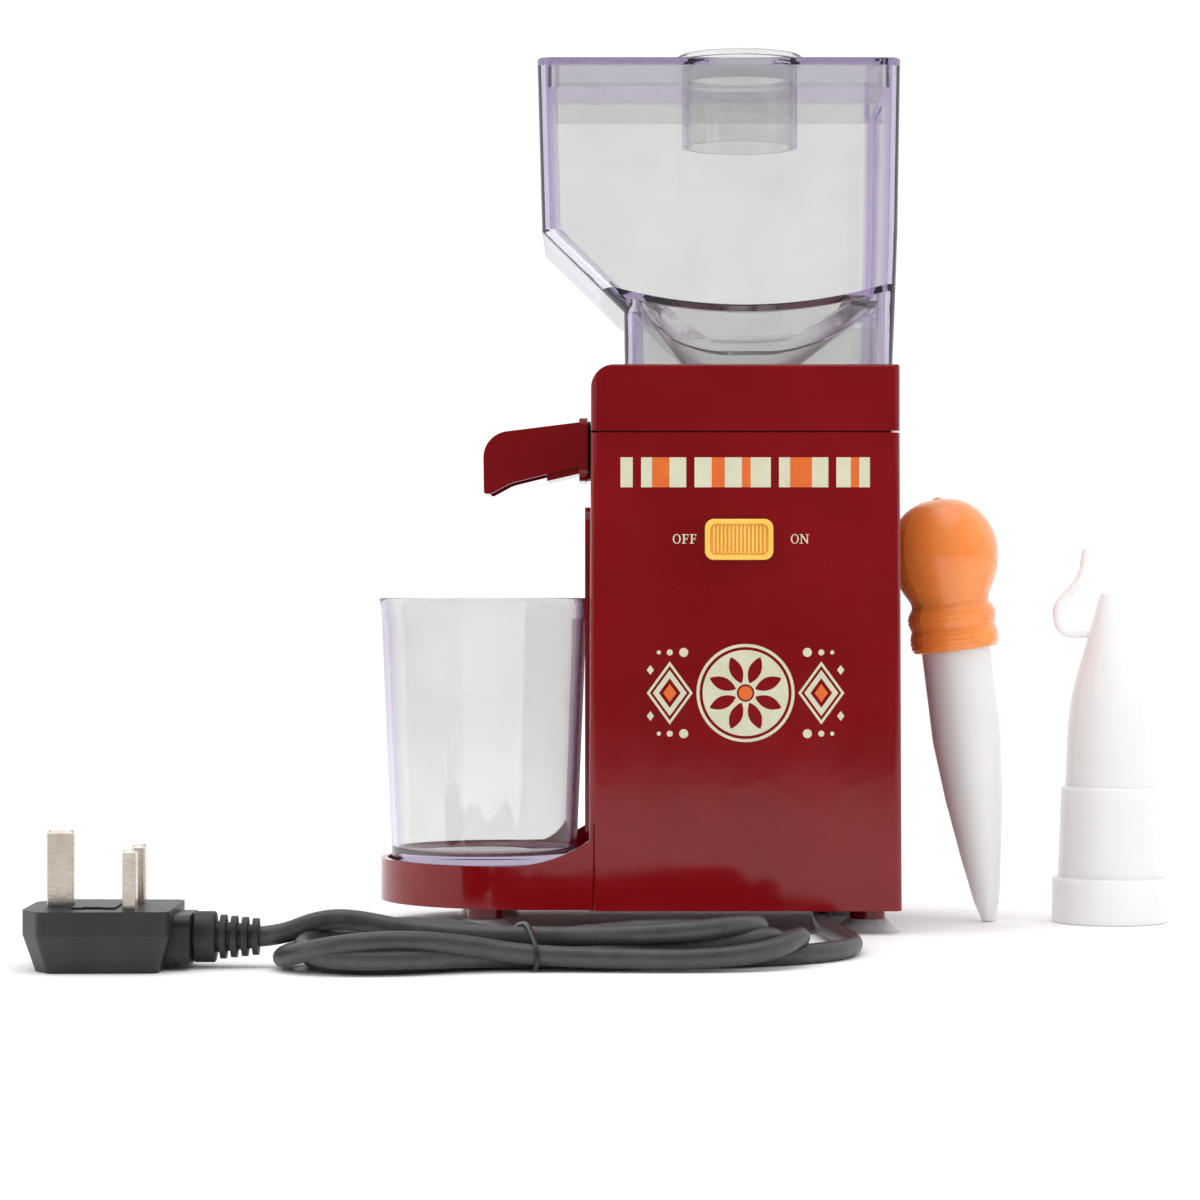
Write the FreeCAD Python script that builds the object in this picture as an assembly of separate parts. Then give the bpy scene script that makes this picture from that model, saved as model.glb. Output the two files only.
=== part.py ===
import FreeCAD, Part
import math
import os

# Nut butter grinder: a housing with a vertical motor, a burr chamber under a clear hopper, a side spout
# over a clear cup, and a set of a dropper and its sleeve. Millimetres, +Z up, floor at z = 0.
# The grinder's axis is modelled at x = 0, y = 0, with the switch face towards -Y and the spout towards -X.
# On export everything moves so that the origin lies at the bottom centre of the object without its cord.

os.makedirs("parts", exist_ok=True)

# ---------------------------------------------------------------- driving dimensions

# Clearances
seat_gap = 0.1            # flat faces that rest on each other
fit_gap = 0.25            # a piece that plugs into another
loose_gap = 0.4           # a piece that lifts out by hand
running_gap = 0.06        # shaft in its bush, on the radius
press_gap = 0.03          # a bush or ring pushed home, on the radius
screw_gap = 0.4           # round a screw that passes through
past = 5.0                # how far a cutting form runs out past the piece
slight = 0.01             # keeps a full round from closing on itself
small_round = 0.4         # broken edge of a moulded or turned piece

# Housing
body_width = 102.2        # at the parting line
body_depth = 104.0
draft_growth = 0.65       # how much further out each wall stands at the bottom
floor_gap = 8.0
parting_height = 166.0    # heights of the inner pieces are taken from here
parting_gap = 0.6
wall = 2.4
corner_radius = 3.0
inner_corner_radius = 1.0
seam_gap = 0.1            # between the front and the rear cover

# Head cover
head_height = 22.0
head_roof = 2.6
head_round = 8.0
edge_round = 1.2
lip_depth = 4.0
lip_wall = 1.6
shelf_low_rise = 1.0      # shelf that joins the lip to the cover's wall
shelf_rise = 4.0

# Joints between the covers and under the plate
boss_inset = 7.6          # their axes from the housing's sides at the parting line
boss_inset_deep = 8.5     # and from its front and back
plate_boss_radius = 4.5
plate_boss_height = 20.0
plate_pilot_radius = 1.4
boss_cap = 3.0            # solid end of a boss beyond its pilot hole
cover_boss_radius = 4.0
cover_boss_low = 60.0
cover_boss_drop = 31.0    # upper screws below the parting line
cover_pilot_radius = 1.5
cover_screw_radius = 1.9
cover_head_radius = 3.6
cover_screw_grip = 18.0   # length of boss between the screw head's seat and the seam
web = 1.8

# Bottom plate and feet
plate_level = 18.0
plate_thickness = 2.4
foot_inset = 9.6          # from the housing's side at the parting line
foot_y = 32.0
foot_boss_radius = 6.0
foot_boss_level = 4.2
foot_radius = 11.3
foot_lip = 1.1
foot_skin = 2.0           # thickness at the middle of the suction cup
foot_flare = 2.2          # width of the thin rim
foot_curve = 4.0          # radius of its concave flank
foot_stem_radius = 2.0
foot_stem_height = 5.0
vent_length = 34.0
vent_width = 3.0
vent_pitch = 7.0
vent_count = 5
vent_shift = -6.0         # clear of the cord gland

# Cup tray
tray_reach = 72.3
tray_bottom = 8.4
tray_floor = 19.7
tray_skin = 2.4
tray_rim_low = 22.6
tray_rim_high = 31.6
tray_bend = 14.0          # distance from the housing at which the rim's line turns upwards
tray_sweep = 48.0         # radius of that turn
tray_groove = 0.5         # shadow line where it meets the housing
tongue_thickness = 2.5
tongue_half_width = 30.0
tongue_reach = 13.0
tongue_root = 12.0        # where its root hangs from the tray, from the housing
tray_foot_out = 35.6      # distance of the tray's feet from the housing

# Cup guide on the housing's side
guide_thickness = 1.9
guide_half_width = 31.0
guide_bottom = 31.0
guide_drop = 24.0         # top of the guide below the parting line
guide_round = 8.0
guide_foot_round = 2.0
guide_band = 4.5          # the closed band above the cup's path

# Cup
cup_rim_radius = 36.1
cup_rim_height = 2.3
cup_lip = 0.6
cup_height = 91.6
cup_foot_radius = 31.8
cup_foot_round = 2.5
cup_wall = 1.8
cup_floor = 4.6
cup_step_depth = 7.0
cup_step_wall = 1.2
cup_tab_width = 8.0
cup_tab_height = 5.0

# Spout
outlet_drop = 4.2         # middle of the outlet below the parting line
outlet_half_width = 12.3
outlet_half_height = 7.8
outlet_round = 2.5
outlet_wall = 2.0
outlet_proud = 0.1
spout_half_width = 17.0
spout_wall = 2.0
spout_reach = 36.7
flange_offset = 1.2
flange_thickness = 2.8
flange_half_height = 10.8
flange_half_width = 19.0
sleeve_wall = 1.6
sleeve_depth = 10.0
spout_round = 9.0
spout_roof_drop = 1.2     # start of the roof below the flange's top
spout_top_drop = 4.4      # fall of the roof from the flange to the nose
spout_floor_drop = 5.1    # underside of the hood's root below the outlet's middle
spout_nose_drop = 15.0    # edge of the nose below the outlet's middle
spout_nose_width = 2.6
spout_nose_rake = 0.3
spout_cheek_run = 9.5     # lower edge of the cheeks turns up this far from the nose
spout_cheek_rise = 3.6
spout_cheek_round = 12.0
spout_tongue_reach = 11.0
spout_tongue_fall = 3.2
spout_tongue_thickness = 2.4
flange_round = 4.0

# Grinding chamber
chamber_radius = 31.0
chamber_wall = 2.6
chamber_rise = 4.0        # top of the chamber above the parting line
chamber_depth = 21.0
chamber_floor_thickness = 3.5
chamber_window_width = 18.0
chamber_window_margin = 7.0
chamber_lug_width = 8.0
chamber_lug_reach = 7.0
chamber_lug_thickness = 4.9
cap_plate = 3.0
cap_collar_wall = 2.2
cap_rim_width = 4.0
bush_seat_radius = 9.0
bush_seat_wall = 3.0
bush_drop = 4.0           # bush below the chamber's floor
bush_flange = 1.4
bush_flange_radius = 11.0
seal_height = 1.8
fixed_burr_radius = 29.0
fixed_burr_thickness = 4.0
fixed_burr_lift = 3.0     # spacer rim between the burr and the chamber cap
burr_hole_radius = 14.0
rotating_burr_radius = 28.2
burr_gap = 0.5
rotating_burr_thickness = 5.0
tooth_count = 18
tooth_height = 1.2
tooth_width = 1.8
tooth_skew = 25.0         # degrees off the radius
wiper_count = 3
wiper_thickness = 1.8
wiper_gap = 2.0           # from the bush's flange and from the chamber's wall

# Feed screw and shaft line
spindle_radius = 5.0
motor_shaft_radius = 4.0
shaft_overhang = 2.0      # below the fan
screw_core_radius = 6.5
screw_radius = 13.0
screw_pitch = 13.0
screw_blade = 2.2
screw_turns = 1.25
screw_cap = 5.0           # solid end above the spindle
screw_nose_round = 2.5
spindle_end_gap = 2.0     # the spindle ends this far below the blade's upper end
coupling_radius = 12.0
coupling_height = 10.0
coupling_flange = 3.0
coupling_stand = 2.0      # above the mounting plate
coupling_jaws = 3
coupling_jaw_gap = 6.0    # degrees between two jaws

# Motor
mount_drop = 51.0         # mounting plate below the parting line
motor_radius = 33.0
motor_wall = 2.0
motor_cap_depth = 3.0
motor_vent_inner = 14.0
motor_vent_outer = 24.0
motor_vent_width = 7.0
motor_vent_count = 6
motor_neck_radius = 11.0
motor_neck = 3.0
magnet_thickness = 5.0
magnet_arc = 130.0
air_gap = 0.8
rotor_slots = 9
slot_width = 3.6
slot_depth = 11.0
rotor_margin = 9.0
mount_margin = 5.5        # beyond the posts' axes
mount_thickness = 3.0
post_radius = 4.0
post_inset = 9.0          # the posts' axes from the corner bosses' axes
post_bore = 1.3
mount_hole_radius = 1.7
mount_hole_margin = 4.0
fan_radius = 29.0
fan_stand = 6.6           # above the bottom plate
fan_room = 8.0            # between the fan and the motor
fan_height = 9.0
fan_blades = 9
fan_hub_radius = 8.0
fan_disc = 1.6
fan_blade = 1.4

# Switch
button_width = 22.5
button_height = 13.5
button_thickness = 3.4
button_round = 3.0
button_rim = 1.6
button_recess = 1.2
button_x = -2.25          # middle of the button in its off position
button_drop = 35.35       # below the parting line
button_travel = 3.5
button_ribs = 14
rib_width = 0.6
stem_width = 9.0
stem_height = 6.0
slider_thickness = 3.0
slider_width = 16.0
slider_height = 8.0
switch_depth = 11.0
switch_margin = 2.4
switch_lug = 6.0
lug_hole_radius = 1.5
terminal_pitch = 5.0
terminal_width = 2.8
terminal_length = 5.0
terminal_thickness = 0.8

# Electrics
board_width = 50.0
board_height = 36.0
board_thickness = 1.6
board_drop = 45.0         # its lower edge below the motor's mounting plate
board_spacer = 2.6
board_spacer_radius = 2.5
board_hole_inset = 4.0
capacitor_width = 18.0
capacitor_height = 12.0
capacitor_depth = 7.0
capacitor_inset = 3.0

# Hopper, its levels taken from the top of the head cover
hopper_wall = 2.3
hopper_round = 5.0
hopper_height = 99.1
shoulder_rise = 44.2      # the left wall turns inwards here
waist_rise = 17.6         # and meets the lower part here
hopper_left_top = -68.8
hopper_right_top = 51.6
hopper_left_shoulder = -67.3
hopper_right_shoulder = 50.8
hopper_left_waist = -40.1
hopper_right_waist = 49.9
hopper_left_foot = -39.8
hopper_right_foot = 49.2
hopper_depth_gain = 4.0   # deeper at the top than at the foot
hopper_depth_foot = 95.0
floor_rise = 20.1         # lowest line of the hopper's floor, which is bowed from side to side
floor_bow = 165.0
funnel_rim_rise = 23.4
funnel_end_rise = 1.4
funnel_ledge = 4.0
funnel_corner = 3.0       # how much rounder the funnel's mouth is than the wall
throat_radius = 16.8
throat_wall = 1.8
throat_depth = 8.0
gusset_thickness = 1.6

# Lid and neck
lid_thickness = 2.5
lid_skirt_depth = 7.0
lid_skirt_wall = 1.8
lid_edge_round = 0.6
neck_radius = 19.8
neck_bore = 18.3
neck_rise = 7.3           # above the lid
neck_length = 31.3
neck_flange_radius = 21.5
neck_flange_thickness = 2.0
neck_flange_round = 0.5

# Dropper
dropper_lean = 7.0        # degrees
dropper_wall = 1.2
dropper_tip_radius = 2.2
dropper_tube_radius = 11.75
dropper_taper_end = 63.0
dropper_taper = ((0.38, 0.117), (0.6, 0.359), (0.84, 0.676))  # (radius, height) against the full tube's
dropper_curve = 60.0      # roundness of the taper's flank where it meets the tube
dropper_bulb_start = 93.8
bead_radius = 15.2
bead_height = 7.8
bead_round = 1.6
bead_groove = 1.4
bulb_neck_radius = 13.2
bulb_shoulder = 10.0      # from the beads to the bulb's full width
bulb_radius = 18.6
bulb_crown = 16.0         # rounding of its top
bulb_top = 146.8
bulb_wall = 2.4
dropper_wall_gap = 0.4

# Dropper sleeve
collar_radius = 19.8
collar_height = 15.5
collar_wall = 2.0
sleeve_radius_low = 17.8
sleeve_radius_high = 16.7
sleeve_top = 46.5
cone_radius = 15.3
cone_length = 67.0
cone_swell = 13.9         # radius that the cone's bowed side heads for
cone_swell_rise = 29.0
cone_bow = 90.0
cone_tip_radius = 2.9
cone_tip_round = 1.8
cone_wall = 1.5
drip_radius = 1.0
hook_radius = 1.6
hook_points = ((-5.6, -14.0), (-16.6, -14.6), (-18.9, -5.5), (-9.4, 4.5), (-7.8, 14.5))  # from the tip
sleeve_gap_to_dropper = 10.0

# Cord, hank and plug
cord_radius = 3.1
floor_lift = 0.05
cord_exit_x = 26.0
cord_exit_z = 13.2
boot_root_y = 36.0
boot_length = 34.0
boot_root_radius = 4.6
boot_tip_radius = 3.8
boot_rings = 6
boot_groove = 0.8
boot_end = 2.0            # plain end beyond the rings
gland_half_width = 8.5
gland_length = 13.0
gland_wall = 1.6
gland_round = 2.5
wire_hole_inset = 4.0
clamp_width = 20.0
clamp_length = 8.0
clamp_height = 5.0
clamp_offset = 12.0
hank_x = -66.4
hank_y = -152.0
hank_height = 13.6
hank_round = 4.0
tie_width = 2.2
tie_thickness = 0.9
tie_slant = 11.0
tie_tail = 24.0
tie_shift = -4.0          # middle of the tie from the middle of the hank
tie_front = 22.6          # how far it reaches from its middle
tie_back = 18.8
plug_from_hank = 131.4
plug_forward = 3.6
plug_length = 44.5
plug_width = 48.0
plug_thickness = 18.5
plug_grip = 0.84          # size of the back against the pin face
plug_round = 3.3
plug_nose = 6.0           # how far the earth end's corners are cut back, along the plug
plug_nose_width = 9.6     # and across it
plug_widest = 0.6         # height of its full size, against its thickness
plug_shoulder_width = 26.0
plug_shoulder_round = 4.0
plug_shoulder_low = 1.5
plug_shoulder_drop = 2.0
plug_shoulder = 10.0
pin_spacing = 22.2
pin_length = 17.7
earth_length = 22.7
earth_width = 8.0
pin_width = 6.35
pin_thickness = 4.0
earth_inset = 9.5
pin_root = 6.0            # length held in the body
pin_bevel = 0.9
fuse_length = 13.5
fuse_width = 27.0
fuse_round = 1.2
fuse_shift = -1.5         # along the plug, from its middle
fuse_proud = 0.6
fuse_depth = 6.0
fuse_slot = 6.0
fuse_slot_depth = 1.2
fuse_slot_width = 1.6
relief_neck_length = 6.8
relief_length = 13.0
relief_radius = 6.8
relief_end_radius = 5.4
relief_groove = 1.9
relief_neck = 0.9         # the neck stands this far out beyond the rings
relief_rings = 4

# ---------------------------------------------------------------- sizes that follow

half_width = body_width / 2
half_depth = body_depth / 2
boss_x = half_width - boss_inset
boss_y = half_depth - boss_inset_deep
post_x = boss_x - post_inset
post_y = boss_y - post_inset
foot_x_right = half_width - foot_inset
head_bottom = parting_height + parting_gap
head_top = head_bottom + head_height
plate_top = plate_level + plate_thickness
guide_top = parting_height - guide_drop
button_z = parting_height - button_drop
outlet_level = parting_height - outlet_drop
spout_nose_level = outlet_level - spout_nose_drop
spout_root = -half_width - flange_offset - flange_thickness
spout_tongue_left = spout_root - spout_tongue_reach
throat_outer_radius = throat_radius + throat_wall
socket_radius = throat_outer_radius + loose_gap
chamber_outer_radius = chamber_radius + chamber_wall
chamber_top = parting_height + chamber_rise
chamber_floor_top = chamber_top - chamber_depth
chamber_floor_low = chamber_floor_top - chamber_floor_thickness
cap_bottom = chamber_top + seat_gap
cap_collar_top = head_top - head_roof - fit_gap
fixed_burr_top = cap_bottom - fixed_burr_lift
fixed_burr_bottom = fixed_burr_top - fixed_burr_thickness
rotating_burr_top = fixed_burr_bottom - burr_gap - tooth_height
rotating_burr_bottom = rotating_burr_top - rotating_burr_thickness
mount_level = parting_height - mount_drop
mount_top = mount_level + mount_thickness
board_level = mount_level - board_drop
motor_top = mount_level - motor_neck
fan_level = plate_top + fan_stand
motor_bottom = fan_level + fan_height + fan_room
coupling_low = mount_top + coupling_stand
coupling_middle = coupling_low + coupling_height / 2
cup_bottom = tray_floor + seat_gap
cup_rim_top = cup_bottom + cup_height
throat_end = head_top - throat_depth
hopper_top = head_top + hopper_height
hopper_depth_top = hopper_depth_foot + hopper_depth_gain
hopper_shoulder = head_top + shoulder_rise
hopper_waist = head_top + waist_rise
floor_level = head_top + floor_rise
funnel_rim = head_top + funnel_rim_rise
funnel_end = head_top + funnel_end_rise
lid_low = hopper_top + seat_gap
lid_high = lid_low + lid_thickness
neck_top = lid_high + neck_rise
neck_bottom = neck_top - neck_length


def flare(z):
    """How far the drafted walls stand out at height z beyond their place at the parting line."""
    return draft_growth * (parting_height - z) / (parting_height - floor_gap)


cup_x = -(half_width + flare(cup_rim_top) + 2 * fit_gap + cup_rim_radius)
tray_left = -(half_width + tray_reach)
foot_x_left = -(half_width + tray_foot_out)

# ---------------------------------------------------------------- shape helpers


def vector(x, y, z):
    return FreeCAD.Vector(x, y, z)


def place(view, u, v, depth):
    """Point (u, v) of an outline seen from the top, the front or the side, at that depth."""
    if view == "top":
        return vector(u, v, depth)
    if view == "front":
        return vector(u, depth, v)
    return vector(depth, u, v)


def unit(u, v):
    length = math.hypot(u, v)
    return u / length, v / length


def rounded_wire(view, corners, depth):
    """Closed wire through corners (u, v, radius); each corner is rounded by a tangent arc of its radius."""
    arcs = []
    for index, (u, v, radius) in enumerate(corners):
        before = corners[index - 1]
        after = corners[(index + 1) % len(corners)]
        back = unit(before[0] - u, before[1] - v)
        ahead = unit(after[0] - u, after[1] - v)
        if radius == 0:
            arcs.append([(u, v)])
            continue
        half_angle = math.acos(back[0] * ahead[0] + back[1] * ahead[1]) / 2
        reach = radius / math.tan(half_angle)
        inward = unit(back[0] + ahead[0], back[1] + ahead[1])
        sagitta = radius / math.sin(half_angle) - radius
        start = (u + back[0] * reach, v + back[1] * reach)
        middle = (u + inward[0] * sagitta, v + inward[1] * sagitta)
        end = (u + ahead[0] * reach, v + ahead[1] * reach)
        arcs.append([start, middle, end])
    edges = []
    for index, arc in enumerate(arcs):
        points = [place(view, u, v, depth) for u, v in arc]
        if len(points) == 3:
            edges.append(Part.Arc(*points).toShape())
        following = arcs[(index + 1) % len(arcs)][0]
        next_point = place(view, following[0], following[1], depth)
        if points[-1].distanceToPoint(next_point) > 1e-6:
            edges.append(Part.LineSegment(points[-1], next_point).toShape())
    return Part.Wire(edges)


def prism(view, corners, start, end):
    """Solid that has the outline as seen in that view, from start to end along the line of sight."""
    face = Part.Face(rounded_wire(view, corners, start))
    origin = place(view, 0, 0, 0)
    return face.extrude(place(view, 0, 0, end - start) - origin)


def rectangle(left, right, low, high, radius=0.0):
    return [(left, low, radius), (right, low, radius), (right, high, radius), (left, high, radius)]


def block(left, right, front, back, low, high):
    return Part.makeBox(right - left, back - front, high - low, vector(left, front, low))


def cylinder(radius, low, high, x=0.0, y=0.0):
    return Part.makeCylinder(radius, high - low, vector(x, y, low))


def ring(outer, inner, low, high, x=0.0, y=0.0):
    return cylinder(outer, low, high, x, y).cut(cylinder(inner, low - 1, high + 1, x, y))


def turned(corners, x=0.0, y=0.0):
    """Solid of revolution about the vertical through (x, y), from corners (radius, height, rounding)."""
    face = Part.Face(rounded_wire("front", corners, 0))
    solid = face.revolve(vector(0, 0, 0), vector(0, 0, 1), 360)
    solid.translate(vector(x, y, 0))
    return solid


def lofted(sections):
    """Straight-sided solid through rounded rectangles (height, left, right, half depth, radius)."""
    wires = []
    for height, left, right, depth, radius in sections:
        wires.append(rounded_wire("top", rectangle(left, right, -depth, depth, radius), height))
    return Part.makeLoft(wires, True, True)


def joined(first, *others):
    return first.fuse(list(others)).removeSplitter()


def around(shape, angle):
    turned_shape = shape.copy()
    turned_shape.rotate(vector(0, 0, 0), vector(0, 0, 1), angle)
    return turned_shape


def pipe(points, radius, name):
    """Round tube along straight runs joined by tangent arcs, each as large as its two runs allow."""
    vectors = [vector(*point) for point in points]
    edges = []
    radii = []
    start = vectors[0]
    for before, corner, after in zip(vectors, vectors[1:], vectors[2:]):
        back = (before - corner).normalize()
        ahead = (after - corner).normalize()
        half_turn = (math.pi - math.acos(back.dot(ahead))) / 2
        shorter = min(before.distanceToPoint(corner), after.distanceToPoint(corner))
        reach = 0.45 * shorter
        bend = reach / math.tan(half_turn)
        radii.append(round(bend, 1))
        arc_start = corner + back * reach
        arc_end = corner + ahead * reach
        inward = (back + ahead).normalize()
        middle = corner + inward * (bend / math.cos(half_turn) - bend)
        edges.append(Part.LineSegment(start, arc_start).toShape())
        edges.append(Part.Arc(arc_start, middle, arc_end).toShape())
        start = arc_end
    edges.append(Part.LineSegment(start, vectors[-1]).toShape())
    path = Part.Wire(edges)
    direction = vectors[1] - vectors[0]
    section = Part.Wire([Part.Circle(vectors[0], direction, radius).toShape()])
    solid = path.makePipeShell([section], True, False)
    expected = math.pi * radius ** 2 * path.Length
    print(name, "length", round(path.Length, 1), "radii", radii,
          "volume ratio", round(solid.Volume / expected, 4))
    return solid


# ---------------------------------------------------------------- housing


def housing_block(inset, low, high):
    """Drafted block with the housing's outer form, moved in by inset, from low to high."""
    radius = max(corner_radius - inset, inner_corner_radius)
    sections = []
    for z in (low, high):
        across = half_width + flare(z) - inset
        deep = half_depth + flare(z) - inset
        sections.append((z, -across, across, deep, radius))
    return lofted(sections)


def outlet_window():
    """Passage for the chamber's outlet through the side wall."""
    return outlet_form(-outlet_wall - fit_gap, -half_width - past, -half_width + 2 * past)


def switch_slot():
    """Opening for the button's stem, as long as the stem and its travel."""
    left = button_x - stem_width / 2 - fit_gap
    right = button_x + stem_width / 2 + button_travel + fit_gap
    tall = stem_height / 2 + fit_gap
    corners = rectangle(left, right, button_z - tall, button_z + tall, small_round)
    return prism("front", corners, -half_depth - past, -half_depth + past)


def tongue_slot():
    """Opening for the tray's tongue through the side wall."""
    low = plate_level - seat_gap - tongue_thickness - fit_gap
    across = tongue_half_width + fit_gap
    return block(-half_width - past, -half_width + past, -across, across, low, plate_level)


def plate_boss(x, y):
    """Screw boss for the bottom plate, tied to both walls of its corner by webs."""
    top = plate_top + plate_boss_height
    low = plate_top + seat_gap
    outward_x = math.copysign(half_width, x)
    outward_y = math.copysign(half_depth, y)
    web_x = block(min(x, outward_x), max(x, outward_x), y - web / 2, y + web / 2, low, top)
    web_y = block(x - web / 2, x + web / 2, min(y, outward_y), max(y, outward_y), low, top)
    solid = joined(cylinder(plate_boss_radius, low, top, x, y), web_x, web_y)
    return solid.common(housing_block(wall / 2, low, top))


def cover_boss(x, z, start, end):
    """Horizontal screw boss from the seam towards the front or the back wall."""
    low, high = min(start, end), max(start, end)
    solid = Part.makeCylinder(cover_boss_radius, high - low, vector(x, low, z), vector(0, 1, 0))
    return solid.common(housing_block(wall / 2, floor_gap, parting_height))


def cover(front):
    """One half of the housing, with its bosses."""
    side = -1 if front else 1
    shell = housing_block(0, floor_gap, parting_height)
    shell = shell.cut(housing_block(wall, floor_gap - 1, parting_height + 1))
    seam = side * seam_gap / 2
    far = side * (half_depth + past)
    half = block(-half_width - past, half_width + past, min(seam, far), max(seam, far), 0,
                 parting_height + past)
    shell = shell.common(half)
    bosses = []
    holes = []
    for x in (-boss_x, boss_x):
        bosses.append(plate_boss(x, side * boss_y))
        holes.append(cylinder(plate_pilot_radius, plate_level, plate_top + plate_boss_height - boss_cap,
                              x, side * boss_y))
        for z in (cover_boss_low, parting_height - cover_boss_drop):
            bosses.append(cover_boss(x, z, seam, far))
            if front:
                holes.append(Part.makeCylinder(cover_pilot_radius, cover_screw_grip,
                                               vector(x, -cover_screw_grip, z), vector(0, 1, 0)))
            else:
                holes.append(Part.makeCylinder(cover_screw_radius, half_depth,
                                               vector(x, -1, z), vector(0, 1, 0)))
                holes.append(Part.makeCylinder(cover_head_radius, half_depth,
                                               vector(x, cover_screw_grip, z), vector(0, 1, 0)))
    solid = joined(shell, *bosses)
    cuts = holes + [outlet_window(), tongue_slot()]
    if front:
        cuts.append(switch_slot())
    return solid.cut(cuts)


def head_form(inset, roof, low):
    """Outer or inner form of the head cover: the three outlines of its sides, met together."""
    across = half_width - inset
    deep = half_depth - inset
    top = head_top - roof
    big_round = max(head_round - inset, inner_corner_radius)
    top_round = max(edge_round - inset, small_round)
    plan_round = max(corner_radius - inset, inner_corner_radius)
    from_front = prism("front", [(-across, low, 0), (across, low, 0), (across, top, top_round),
                                 (-across, top, big_round)], -deep, deep)
    from_side = prism("side", [(-deep, low, 0), (deep, low, 0), (deep, top, top_round),
                               (-deep, top, top_round)], -across, across)
    from_top = prism("top", rectangle(-across, across, -deep, deep, plan_round), low, top)
    return from_front.common(from_side).common(from_top)


def head_cover():
    """Top cover over the parting line, with a lip that drops inside the two halves."""
    shell = head_form(0, 0, head_bottom).cut(head_form(wall, head_roof, head_bottom - 1))
    inset = wall + fit_gap
    lip_low = parting_height - lip_depth
    lip_high = head_bottom + shelf_rise
    lip = housing_block(inset, lip_low, lip_high)
    lip = lip.cut(housing_block(inset + lip_wall, lip_low - 1, lip_high + 1))
    shelf_low = head_bottom + shelf_low_rise
    shelf = head_form(wall / 2, head_roof, shelf_low)
    shelf = shelf.common(block(-half_width, half_width, -half_depth, half_depth, shelf_low, lip_high))
    shelf = shelf.cut(housing_block(inset + lip_wall, shelf_low - 1, lip_high + 1))
    solid = joined(shell, lip, shelf)
    mouth = cylinder(socket_radius, head_bottom, head_top + 1)
    return solid.cut([mouth, outlet_window()])


def side_guide():
    """Raised guide beside the cup: two uprights and a band, hollowed to the cup's path."""
    corners = [(-guide_half_width, guide_bottom, guide_foot_round),
               (guide_half_width, guide_bottom, guide_foot_round),
               (guide_half_width, guide_top, guide_round), (-guide_half_width, guide_top, guide_round)]
    outer = -(half_width + flare(guide_top) + guide_thickness)
    plate = prism("side", corners, outer, -half_width + wall / 2)
    plate = plate.cut(housing_block(-seat_gap, floor_gap, parting_height))
    path = cylinder(cup_rim_radius + 2 * loose_gap, 0, guide_top - guide_band, cup_x, 0)
    return plate.cut(path)


# ---------------------------------------------------------------- base


def vents():
    """Row of air slots in the middle of the bottom plate."""
    slots = []
    first = -vent_pitch * (vent_count - 1) / 2
    for index in range(vent_count):
        y = first + index * vent_pitch
        corners = rectangle(vent_shift - vent_length / 2, vent_shift + vent_length / 2, y - vent_width / 2,
                            y + vent_width / 2, vent_width / 2 - slight)
        slots.append(prism("top", corners, plate_level - 1, plate_top + 1))
    return slots


def foot_boss(x, y, top):
    solid = cylinder(foot_boss_radius, foot_boss_level, top, x, y)
    hole_top = foot_boss_level + foot_stem_height + 2 * seat_gap
    return solid.cut(cylinder(foot_stem_radius + press_gap, foot_boss_level - 1, hole_top, x, y))


def cord_gland_block():
    """Housing under the plate in which the cord boot's root sits."""
    left = cord_exit_x - gland_half_width
    right = cord_exit_x + gland_half_width
    low = cord_exit_z - boot_root_radius - gland_wall
    rounded = prism("front", rectangle(left, right, low, plate_top + past, gland_round),
                    boot_root_y - gland_length, boot_root_y)
    return rounded.common(block(left, right, 0, boot_root_y, low, plate_top - gland_wall / 2))


def boot_bore():
    start = vector(cord_exit_x, boot_root_y - gland_length - 1, cord_exit_z)
    return Part.makeCylinder(boot_root_radius + press_gap, gland_length + 2, start, vector(0, 1, 0))


def bottom_plate():
    """Recessed bottom of the housing, with the right-hand foot bosses, the vents and the cord gland."""
    inset = wall + fit_gap
    plate = housing_block(inset, plate_level, plate_top)
    pieces = [foot_boss(foot_x_right, y, plate_top) for y in (-foot_y, foot_y)]
    pieces.append(cord_gland_block())
    solid = joined(plate, *pieces)
    cuts = vents()
    for x in (-boss_x, boss_x):
        for y in (-boss_y, boss_y):
            cuts.append(cylinder(plate_pilot_radius + screw_gap, plate_level - 1, plate_top + 1, x, y))
    for x in (-post_x, post_x):
        for y in (-post_y, post_y):
            cuts.append(cylinder(plate_pilot_radius, plate_level - 1, plate_top + 1, x, y))
    cuts.append(boot_bore())
    cuts.append(cylinder(cord_radius + loose_gap, plate_level - plate_thickness, plate_top + 1, cord_exit_x,
                         boot_root_y - wire_hole_inset))
    return solid.cut(cuts)


def tray_outline(inset):
    """Tray seen from above: straight sides from the housing and a half-round end."""
    deep = half_depth + flare(tray_bottom) - inset
    left = tray_left + inset
    right = -half_width + past
    end_round = deep - slight
    return [(left, -deep, end_round), (right, -deep, 0), (right, deep, 0), (left, deep, end_round)]


def tray_rim_trim():
    """Everything above the rim's line, which sweeps up towards the housing."""
    above = tray_rim_high + 2 * past
    corners = [(tray_left - past, tray_rim_low, 0), (-half_width - tray_bend, tray_rim_low, tray_sweep),
               (-half_width, tray_rim_high, 0), (-half_width, above, 0), (tray_left - past, above, 0)]
    return prism("front", corners, -half_depth - past, half_depth + past)


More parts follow.
